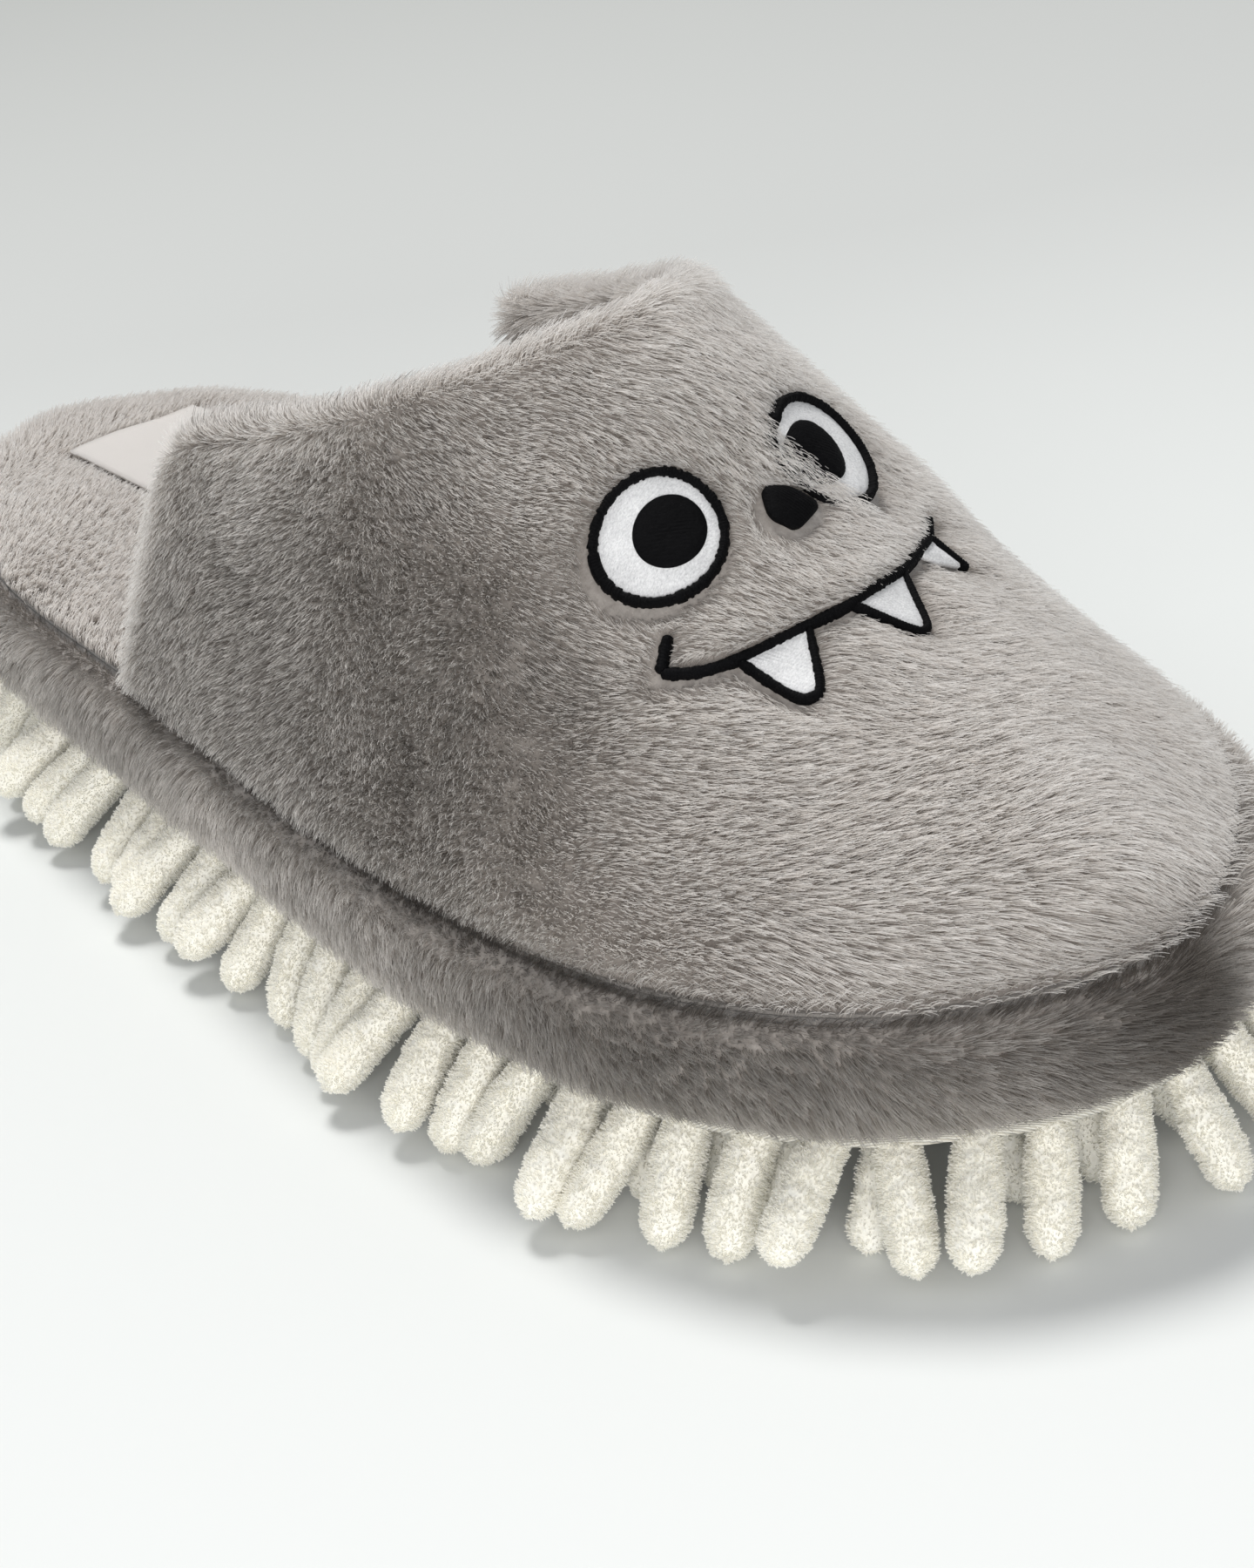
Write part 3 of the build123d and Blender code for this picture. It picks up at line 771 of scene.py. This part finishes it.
band_ob = add_mesh("side_band", closed.reshape(-1, 3), bf, "slipper", PLUSH, ("side_band",))


def band_comb(p):
    """Along the band, near side to toe to far side, and slightly down."""
    a = np.arctan2(p[:, 1] / HALF_LONG, p[:, 0] / HALF_WIDE)
    return np.stack([-0.8 * np.sin(a), 0.8 * np.cos(a), np.full(len(p), -0.45)], -1)


def band_mask(root):
    """Shorter pile toward the seam, where the stitching pulls it in, with painted shade in the seam; painted shade
    over the whole band, darkest round the toe, lighter on the far side, with some random mottle.
    """
    z = root[:, 2]
    scale = np.clip(0.42 + (31.0 - z) / 4.0, 0.42, 1) * np.clip(0.6 + (z - 17.6) / 6.0, 0.6, 1)
    far = clip01((root[:, 0] - 4) / 20)
    # painted shade on the band, with a little random mottle
    band_shade_and_mottle = (0.34 - 0.15 * clip01((-root[:, 1] - 60) / 50) + 0.55 * far - 0.10 * noise(root, 22, 56)
             - 0.12 * clip01((z - 17) / 14))
    return scale, np.zeros_like(root), np.clip(0.10 + 0.45 * far + (30.5 - z) / 0.9, 0.10, 1) * band_shade_and_mottle


pile("fur_band", band, 9.5, 3.8, band_comb, closed_u=True, lie=0.80, seed=6, turn=0.7, mask=band_mask)

# ---- insole ----
NR, NK = 420, 46
Z_INSOLE, INSOLE_RISE = 31.4, 3.4  # height at the edge, and how much higher the middle is
Z_INSOLE_LOW = 30.1
rim, _ = ring_at(NR, 4.6)
k = np.linspace(1, 0, NK)
sole = np.zeros((NR, NK, 3))
spine = np.stack([np.zeros(NR), np.clip(rim[:, 1], -92, 96)], -1)
sole[..., :2] = spine[:, None] + (rim - spine)[:, None] * k[None, :, None]
depth = np.linalg.norm(rim - spine, axis=1)[:, None] * (1 - k[None])
sole[..., 2] = (Z_INSOLE + INSOLE_RISE * (1 - np.exp(-depth / 6.0))
                + 0.6 * noise(sole, 28, 61) * clip01(depth / 8))
sole_skin = sole.copy()
sole_skin[..., 2] += clumps(sole, (1, 0.5, 1), 2.2, 62) * 0.8 * clip01(depth / 4)
low = np.stack([np.column_stack([rim * part, np.full(NR, Z_INSOLE_LOW)]) for part in (1, 0.5)], 1)
sv = np.concatenate([low[:, ::-1], sole_skin], 1)
sf = grid_faces(NR, sv.shape[1], closed_u=True, flip=True)
insole = add_mesh("insole_cover", sv.reshape(-1, 3), sf, "slipper", PLUSH, ("insole_cover",))
weld(insole, 0.0004)
LABEL_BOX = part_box("insole_label")
label_c = (LABEL_BOX[0] + LABEL_BOX[1]) / 2 / MM
label_h = (LABEL_BOX[1] - LABEL_BOX[0]) / 2 / MM


def sole_mask(root):
    """No pile under the label, and a third of it under the vamp, where little shows."""
    scale = np.ones(len(root))
    hidden = root[:, 1] < 0
    scale[hidden & (np.arange(len(root)) % 3 > 0)] = 0.0
    d = np.maximum(np.abs(root[:, 0] - label_c[0]) - label_h[0], np.abs(root[:, 1] - label_c[1]) - label_h[1])
    scale = np.where(d < 0.2, 0.0, scale * np.clip(0.45 + d / 6, 0.3, 1))
    # painted shade: the insole pile is a little darker all over, down in the foot opening
    return scale, np.zeros_like(root), np.full(len(root), 0.78)


pile("fur_insole", sole, 9.0, 3.8, (0.5, -0.8, 0.0), closed_u=True, lie=0.8, seed=7, radius=0.07,
     mask=sole_mask, flip=bool(grid_normals(sole, True)[0][0, NK // 2, 2] < 0))

# ---- embroidery ----
LIFT = 0.9
SINK = 2.0  # depth of the stitches' ground under the CAD surface, like the skin's
STITCH = 0.42  # width of one thread
ACROSS = np.linspace(-1, 1, 9)
FOOT = 0.1  # height of the hidden lower side
GROOVE = 0.10  # height of a thread's ridge
ARCH = np.sqrt(1 - ACROSS[None] ** 2 * 0.98)


def raised(uv, lift):
    """Points at a height over the vamp. One side of the left eye is tucked into the pile."""
    p, n = on_vamp(uv)
    off = uv - np.array(EYES["left"][0])
    tuck = np.where(np.linalg.norm(off, axis=-1) < 9.0, clip01((off @ TUCK_DIR - 2.6) / 2.0), 0.0)
    return p + n * (lift - SINK - 1.0 * tuck * clip01(lift))[..., None]


def ribbon(name, lines, width, height=1.3):
    """Satin-stitch bands: rounded across, with a ridge for each thread."""
    vs, fs, base = [], [], 0
    for line in lines:
        line = np.array(line, float)
        if len(line) > 2:
            t = np.linspace(0, len(line) - 1, 40 * len(line))
            k = np.clip(t.astype(int), 0, len(line) - 2)
            f = (t - k)[:, None]
            p0, p1, p2, p3 = (line[np.clip(k + o, 0, len(line) - 1)] for o in (-1, 0, 1, 2))
            line = 0.5 * (2 * p1 + (p2 - p0) * f + (2 * p0 - 5 * p1 + 4 * p2 - p3) * f ** 2
                          + (3 * p1 - p0 - 3 * p2 + p3) * f ** 3)
        total = np.linalg.norm(np.diff(line, axis=0), axis=1).sum()
        n = max(int(total / STITCH * 4), 12)
        c = resample(line, n)
        d = unit(np.gradient(c, axis=0))
        side = np.stack([-d[:, 1], d[:, 0]], -1)
        s = np.linspace(0, total, n)
        end = clip01(np.minimum(s, total - s) / (width / 2))
        taper = np.sqrt(clip01(1 - (1 - end) ** 2))
        jag = 1 + 0.30 * (hash01(np.floor(s / STITCH).astype(int), np.arange(n) * 0 + 9) - 0.5)
        reach = (width / 2 * np.maximum(taper, 0.05) * jag)[:, None, None]
        uv = c[:, None] + side[:, None] * (ACROSS[None, :, None] * reach)
        ridge_h = GROOVE * np.abs(np.sin(math.pi * s / STITCH))
        h = LIFT * 0.2 + (height * ARCH + ridge_h[:, None]) * (0.3 + 0.7 * taper)[:, None]
        g = raised(uv, h)
        low = raised(uv[:, ::-1], np.full(uv.shape[:2], FOOT))
        body = np.concatenate([g, low[:, ::2]], 1)
        m = body.shape[1]
        f = tube_faces(n, m, offset=base)
        caps = [list(range(base, base + m))[::-1], list(range(base + (n - 1) * m, base + n * m))]
        vs.append(body.reshape(-1, 3))
        fs += [list(x) for x in f] + caps
        base += n * m
    add_mesh(name, np.concatenate(vs), fs, "slipper", BLACK, (name,))


def ring_band(name, centre, r0, r1):
    """Closed satin-stitch ring."""
    stitches = int(2 * math.pi * r1 / STITCH)
    n = stitches * 4
    th = np.linspace(0, 2 * math.pi, n, endpoint=False)
    r = (r0 + r1) / 2 + ACROSS * (r1 - r0) / 2
    jag = 0.26 * (hash01((th / (2 * math.pi) * stitches).astype(int), np.arange(n) * 0 + 3) - 0.5)
    rr = r[None, :] + jag[:, None] * np.sign(ACROSS)[None, :]
    uv = np.array(centre) + np.stack([np.cos(th)[:, None] * rr, np.sin(th)[:, None] * rr], -1)
    h = 0.2 + 1.3 * ARCH + GROOVE * np.abs(np.sin(th * stitches / 2))[:, None]
    g = raised(uv, h)
    low = raised(uv[:, ::-1], np.full(uv.shape[:2], FOOT))[:, ::2]
    body = np.concatenate([g, low], 1)
    m = body.shape[1]
    add_mesh(name, body.reshape(-1, 3), tube_faces(n, m, closed_u=True), "slipper", BLACK, (name,))


ROW = 0.45  # width of a row of fill stitches
KNOT = 2.4  # length of one stitch in the row


def patches(name, loops, material, height=1.0, angle=0.6, crown=0.5):
    """Filled stitch areas: rows of thread over a low crown."""
    vs, fs, base = [], [], 0
    for loop in loops:
        loop = resample(np.array(loop, float), 96, closed=True)
        mid = loop.mean(0)
        k = np.linspace(1, 0.0, 26)[:-1]
        uv = mid + (loop - mid)[:, None] * k[None, :, None]
        edge_d = (1 - k)[None, :] * np.linalg.norm(loop - mid, axis=1)[:, None]
        rise = crown * (1 - np.exp(-edge_d / 1.0))
        across = uv @ np.array([math.cos(angle), math.sin(angle)])
        along = uv @ np.array([-math.sin(angle), math.cos(angle)])
        row = np.floor(across / ROW).astype(int)
        line = np.abs(np.sin(math.pi * across / ROW))
        knot = np.abs(np.sin(math.pi * (along / KNOT + (row % 3) / 3.0)))
        h = height * 0.6 + rise + GROOVE * line + 0.06 * knot ** 0.3
        g = raised(uv, h)
        c = raised(mid[None, :], np.array([height * 0.6 + crown]))
        low = raised(uv[:, :1], np.full((len(loop), 1), FOOT))
        body = np.concatenate([low, g], 1)
        n, m = body.shape[:2]
        fs += [list(x) for x in grid_faces(n, m, closed_u=True, offset=base)]
        vs.append(np.concatenate([body.reshape(-1, 3), c]))
        i = np.arange(n)
        j = (i + 1) % n
        fs += [[int(a * m + m - 1 + base), int(b * m + m - 1 + base), base + n * m] for a, b in zip(i, j)]
        fs.append([int(a * m + base) for a in i][::-1])
        base += n * m + 1
    add_mesh(name, np.concatenate(vs), fs, "slipper", material, (name,))


round_angles = np.linspace(0, 2 * math.pi, 96, endpoint=False)
disc = np.stack([np.cos(round_angles), np.sin(round_angles)], -1)
for eye, (centre, look) in EYES.items():
    ring_band(f"eye_ring_{eye}", centre, EYE_IN - 0.15, EYE_R)
    patches(f"eye_white_{eye}", [np.array(centre) + disc * (EYE_IN + 0.1)], WHITE, height=0.9)
    patches(f"eye_pupil_{eye}", [np.array(look) + disc * PUPIL_R], BLACK, height=1.9, crown=0.7,
            angle=1.1)
patches("nose_patch", [NOSE_LOOP], BLACK, height=1.2, crown=0.8)
ribbon("mouth_line", [MOUTH] + TICKS, STROKE)
ribbon("tooth_outlines", TOOTH_LINES, STROKE * 0.85, height=1.2)
patches("tooth_fills", TEETH, WHITE, height=0.9, crown=0.4)

# ---- label: a blank cloth tag with a stitched hem ----
Z_LABEL = 37.0
LABEL_THICK = 0.5
nx, ny = 24, 30
X, Y = np.meshgrid(np.linspace(-1, 1, nx), np.linspace(-1, 1, ny), indexing="ij")
lp = np.stack([label_c[0] + X * label_h[0], label_c[1] + Y * label_h[1], Z_LABEL + 0 * X], -1)
lp[..., 2] += 0.5 * noise(lp, 12, 71) - 0.5 * (np.abs(X) ** 6 + np.abs(Y) ** 6) * 0.5
hem_line = np.minimum(np.abs(np.abs(X) - 0.88), np.abs(np.abs(Y) - 0.92))
lp[..., 2] -= 0.18 * np.exp(-(hem_line / 0.03) ** 2)
under = lp.copy()
under[..., 2] -= LABEL_THICK
lv = np.concatenate([lp.reshape(-1, 3), under.reshape(-1, 3)])
lf = [list(f) for f in grid_faces(nx, ny)] + [list(f) for f in grid_faces(nx, ny, offset=nx * ny, flip=True)]
border = ([i * ny for i in range(nx)] + [(nx - 1) * ny + j for j in range(1, ny)]
          + [i * ny + ny - 1 for i in range(nx - 2, -1, -1)] + [j for j in range(ny - 2, 0, -1)])
for a, b in zip(border, border[1:] + border[:1]):
    lf.append([b, a, a + nx * ny, b + nx * ny])
label = add_mesh("insole_label", lv, lf, "slipper", LABEL, ("insole_label",))

# ---- mop fingers ----
FINGER_TOP = 13.4  # where the fingers leave the cloth
TIP_Z, INNER_TIP_Z = 1.2, 0.4
RING_INSET, RING_PITCH = 6.0, 8.9
SECOND_INSET, SECOND_PITCH = 17.0, 9.6
INNER_PITCH, INNER_R = 11.5, 3.5
ROW_STEP = 0.87  # rows are this much closer than the fingers in a row
FUZZ_AREA = 470  # surface of one finger, in mm2
FUZZ_LONG = 0.5
FUZZ_R = np.array([0.09, 0.08, 0.04])


def stations(inset, pitch):
    """Evenly spaced points of the outline, moved inward, with the ways outward and sideways there."""
    p, out = ring_at(4000, inset)
    run = np.r_[0, np.cumsum(np.linalg.norm(np.diff(np.vstack([p, p[:1]]), axis=0), axis=1))]
    n = int(run[-1] / pitch)
    s = run[-1] * (np.arange(n) + 0.5) / n
    i = np.searchsorted(run, s) - 1
    return [(x, y, np.array([ox, oy, 0.0]), np.array([-oy, ox, 0.0])) for (x, y), (ox, oy) in zip(p[i], out[i])]


def worm(root, tip, bow, radius, seed, fine):
    """One chenille finger: a bent round tube with knobbly tufts and a blunt end."""
    na, ns = (22, 44) if fine else (14, 22)
    t = np.linspace(0, 1, ns)
    mid = (root + tip) / 2 + bow
    c = ((1 - t) ** 2)[:, None] * root + (2 * t * (1 - t))[:, None] * mid + (t ** 2)[:, None] * tip
    total = np.linalg.norm(np.diff(c, axis=0), axis=1).sum()
    d = unit(np.gradient(c, axis=0))
    a = unit(np.cross(d, np.array([0.31, 0.17, 0.93])))
    b = np.cross(d, a)
    s = t * total
    cap = clip01((total - s) / (radius * 1.35))
    prof = (radius * np.sqrt(clip01(1 - (1 - cap) ** 2.1))
            * (0.82 + 0.18 * np.sin(math.pi * clip01(t * 0.9))))
    th = np.linspace(0, 2 * math.pi, na, endpoint=False)
    ring = a[:, None] * np.cos(th)[None, :, None] + b[:, None] * np.sin(th)[None, :, None]
    p = c[:, None] + ring * prof[:, None, None]
    tuft = noise(p, 1.0, seed) * 0.26 + noise(p, 2.4, seed + 5) * 0.18
    p = p + ring * (tuft * clip01(prof / radius)[:, None])[..., None]
    return p, c[-1] + d[-1] * 0.05


def finger_group(name, fingers, fine):
    """One piece of many fingers; gives back their grids of points, for the fuzz."""
    vs, fs, base, grids = [], [], 0, []
    for k, (root, tip, bow, radius) in enumerate(fingers):
        p, end = worm(root, tip, bow, radius, 200 + k, fine)
        n, m = p.shape[:2]
        g = p.transpose(1, 0, 2)
        vs.append(np.concatenate([g.reshape(-1, 3), [end], [root]]))
        fs += [list(x) for x in grid_faces(m, n, closed_u=True, offset=base)]
        i = np.arange(m)
        j = (i + 1) % m
        fs += [[int(base + a * n + n - 1), int(base + b * n + n - 1), base + m * n] for a, b in zip(i, j)]
        fs += [[int(base + b * n), int(base + a * n), base + m * n + 1] for a, b in zip(i, j)]
        base += m * n + 2
        grids.append(g)
    add_mesh(name, np.concatenate(vs), fs, "mop_sole", CHENILLE, (name,))
    return grids


def fuzz_on(name, grids, density):
    """Short loose fibres all over the fingers."""
    big = np.stack(grids)
    k, m, n = big.shape[:3]
    big = np.concatenate([big, big[:, :1]], 1)
    r = np.random.default_rng(len(name) + k)
    total = int(k * FUZZ_AREA * density * HAIR_SHARE)
    fi, a, b = r.integers(0, k, total), r.integers(0, m, total), r.integers(0, n - 1, total)
    fa, fb = r.random(total)[:, None], r.random(total)[:, None]
    p00, p10 = big[fi, a, b], big[fi, a + 1, b]
    p01, p11 = big[fi, a, b + 1], big[fi, a + 1, b + 1]
    root = (p00 * (1 - fa) + p10 * fa) * (1 - fb) + (p01 * (1 - fa) + p11 * fa) * fb
    centre = big[fi, :m, b].mean(1)
    out = unit(root - centre)
    size = FUZZ_LONG * (0.5 + r.random(total))
    jig = unit(r.normal(size=(total, 3)))
    tip_dir = unit(out + 0.9 * jig)
    pos = np.stack([root - out * 0.2, root + out * (size * 0.5)[:, None] + jig * 0.1,
                    root + out * (size * 0.5)[:, None] + tip_dir * (size * 0.5)[:, None]], 1)
    add_hair(name, pos, np.tile(FUZZ_R * MM, total), 0.3 + 0.7 * r.random(total), CHENILLE_FUZZ, "mop_sole")


# outer ring: longer and more spread on the flanks
fr = np.random.default_rng(23)
groups = {"toe": [], "right": [], "left": [], "heel": []}
for x, y, out, side in stations(RING_INSET, RING_PITCH):
    root = np.array([x, y, FINGER_TOP]) - out * 0.5 + side * fr.uniform(-1.3, 1.3)
    flank = min(abs(out[0]) / 0.9, 1.0)
    reach = fr.uniform(6.5 + 2.0 * flank, 11.0 + 6.0 * flank)
    tip = np.array([x, y, TIP_Z]) + out * reach + side * fr.uniform(-5.5, 5.5)
    tip[2] += max(reach - 10.0, 0.0) * fr.uniform(0.4, 1.0)
    bow = out * fr.uniform(-0.5, 1.5) + np.array([0, 0, fr.uniform(-0.4, 0.8)]) + side * fr.uniform(-1.6, 1.6)
    key = "toe" if y < -88 else "heel" if y > 96 else "right" if x < 0 else "left"
    groups[key].append((root, tip, bow, fr.uniform(2.75, 3.15)))
for key, items in groups.items():
    fuzz_on(f"fuzz_{key}", finger_group(f"mop_fingers_{key}", items, True), 9.0)

second = []
for x, y, out, side in stations(SECOND_INSET, SECOND_PITCH):
    root = np.array([x, y, FINGER_TOP])
    out_by = fr.uniform(5.0, 17.0) if y < -70 else fr.uniform(4.0, 9.0)
    tip = np.array([x, y, TIP_Z]) + out * out_by + side * fr.uniform(-3.5, 3.5)
    second.append((root, tip, out, fr.uniform(2.8, 3.2)))
fuzz_on("fuzz_second", finger_group("mop_fingers_second_row", second, True), 4.0)

# inner rows, staggered, from toe to heel
row, y = 0, -104.0
inner_groups = {"forefoot": [], "arch": [], "heel_pad": []}
while y < 108.0:
    span = float(np.interp(y, _side[:, 1], _side[:, 0])) - 27.0
    if abs(y) > 90:
        span -= (abs(y) - 90) * 0.5
    shift = INNER_PITCH / 2 if row % 2 else 0.0
    n = int(max(span, 0.0) / INNER_PITCH)
    for q in range(-n - 1, n + 2):
        x = q * INNER_PITCH + shift
        if abs(x) > span:
            continue
        key = "forefoot" if y < -30 else "heel_pad" if y > 45 else "arch"
        tip = np.array([x + fr.normal(0, 1.6), y + fr.normal(0, 1.6), INNER_TIP_Z])
        bow = np.array([fr.normal(0, 0.8), fr.normal(0, 0.8), 0])
        inner_groups[key].append((np.array([x, y, FINGER_TOP]), tip, bow, INNER_R))
    row += 1
    y += INNER_PITCH * ROW_STEP
for key, items in inner_groups.items():
    finger_group(f"mop_fingers_{key}", items, False)

# ---- mop cloth ----
NC = 480
CLOTH_TOP, CLOTH_UNDER = 14.8, 13.6
# (inset, height) of the turned edge, from the top round to the underside
levels = [(9.0, 14.85), (6.0, 14.95), (4.3, 15.2), (3.8, 14.6), (4.0, 13.7), (6.0, 13.55)]
mc = np.zeros((NC, len(levels) + 2, 3))
ce, co = ring_at(NC)
wave = 0.35 * noise(np.column_stack([ce, np.zeros(NC)]), 9, 81)
for q, (d, z) in enumerate(levels):
    mc[:, q + 1, :2] = ce - co * d
    mc[:, q + 1, 2] = z + wave * (1 if 1 <= q <= 4 else 0)
mc[:, 0, :2] = ce * 0.4
mc[:, 0, 2] = CLOTH_TOP
mc[:, -1, :2] = ce * 0.4
mc[:, -1, 2] = CLOTH_UNDER
m = mc.shape[1]
cf = [list(f) for f in grid_faces(NC, m, closed_u=True, flip=True)]
cf.append([i * m for i in range(NC)])
cf.append([i * m + m - 1 for i in range(NC)][::-1])
cloth = add_mesh("mop_base_cloth", mc.reshape(-1, 3), cf, "mop_sole", MOP_CLOTH,
                 ("mop_base_cloth", "mop_edge_hem"))

# ---- CAD pieces that stay, with finished materials ----
STAY = {"mop_loop_sheet": LOOPS, "hook_patch_toe": HOOKS, "hook_patch_arch": HOOKS, "hook_patch_heel": HOOKS,
        "outsole": UNDER, "midsole": FOAM, "insole_foam": FOAM, "insole_board": BOARD, "seam_thread": THREAD}
for name, material in STAY.items():
    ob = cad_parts[name]
    ob.data.materials.clear()
    ob.data.materials.append(material)

# ---- studio: a paper floor with painted shade that gets darker toward the back, in metres ----
FLOOR_HALF = 3
FLOOR_BACK = (0.543, 0.839, 0.0)  # way toward the back of the set, along which the painted shade deepens
FLOOR_SHADE_TONES = [(0.0, (0.85, 0.865, 0.853)), (0.38, (0.745, 0.764, 0.752)), (0.62, (0.555, 0.566, 0.555)),
               (1.0, (0.44, 0.45, 0.437))]
floor_me = bpy.data.meshes.new("floor")
corners = [(x * FLOOR_HALF, y * FLOOR_HALF, 0) for x, y in ((-1, -1), (1, -1), (1, 1), (-1, 1))]
floor_me.from_pydata(corners, [], [(0, 1, 2, 3)])
floor = add_object("floor", floor_me)
fm, nt, b = new_material("floor_paper")
link, tc = nt.links.new, nt.nodes.new("ShaderNodeTexCoord")
t = node(nt, "ShaderNodeTexNoise", Scale=6.0, Detail=3.0)
link(tc.outputs["Object"], t.inputs["Vector"])
toward_back = node(nt, "ShaderNodeVectorMath", operation="DOT_PRODUCT")
toward_back.inputs[1].default_value = FLOOR_BACK
link(tc.outputs["Object"], toward_back.inputs[0])
grade = node(nt, "ShaderNodeMath", operation="MULTIPLY_ADD")
grade.inputs[1].default_value = 0.03
link(t.outputs[0], grade.inputs[0])
link(toward_back.outputs["Value"], grade.inputs[2])
span = node(nt, "ShaderNodeMapRange")
settings(span, From_Min=-0.25, From_Max=0.55)
link(grade.outputs[0], span.inputs["Value"])
r = ramp(nt, span.outputs[0], FLOOR_SHADE_TONES)
link(r.outputs[0], b.inputs["Base Color"])
settings(b, Roughness=0.9, Specular_IOR_Level=0.1)
floor_me.materials.append(fm)

world = bpy.data.worlds.new("studio")
world.use_nodes = True
settings(world.node_tree.nodes["Background"], Color=(0.93, 0.96, 1.0, 1), Strength=0.36)
bpy.context.scene.world = world


AIM = (0, -0.02, 0.03)


def area(name, spot, size, power, colour):
    """Round soft light that points at the slipper."""
    light = bpy.data.lights.new(name, "AREA")
    light.shape = "DISK"
    light.size = size
    light.energy = power
    light.color = colour
    ob = add_object(name, light)
    ob.location = spot
    ob.rotation_euler = (Vector(AIM) - Vector(spot)).to_track_quat("-Z", "Y").to_euler()


area("key", (0.20, 0.50, 1.15), 0.42, 12.5, (1.0, 0.99, 0.975))
area("fill", (-0.66, -0.90, 0.32), 0.8, 9.0, (1.0, 0.99, 0.98))

# ---- camera ----
CAM_PLACE = Vector((-0.246235, -0.408825, 0.260916))
cam_data = bpy.data.cameras.new("camera")
cam_data.lens = 84.88
cam_data.sensor_width = 36.0
cam = add_object("camera", cam_data)
yaw, pitch, roll = math.radians(32.92), math.radians(28.16), math.radians(-9.58)
fwd = Vector((math.sin(yaw) * math.cos(pitch), math.cos(yaw) * math.cos(pitch), -math.sin(pitch)))
right = fwd.cross(Vector((0, 0, 1))).normalized()
up = right.cross(fwd)
r_axis = right * math.cos(roll) + up * math.sin(roll)
u_axis = -right * math.sin(roll) + up * math.cos(roll)
rot = Matrix((r_axis, u_axis, -fwd)).transposed()
cam.matrix_world = Matrix.Translation(CAM_PLACE) @ rot.to_4x4()
cam_data.clip_start = 0.01
bpy.context.scene.camera = cam
bpy.context.scene.view_settings.view_transform = "Standard"
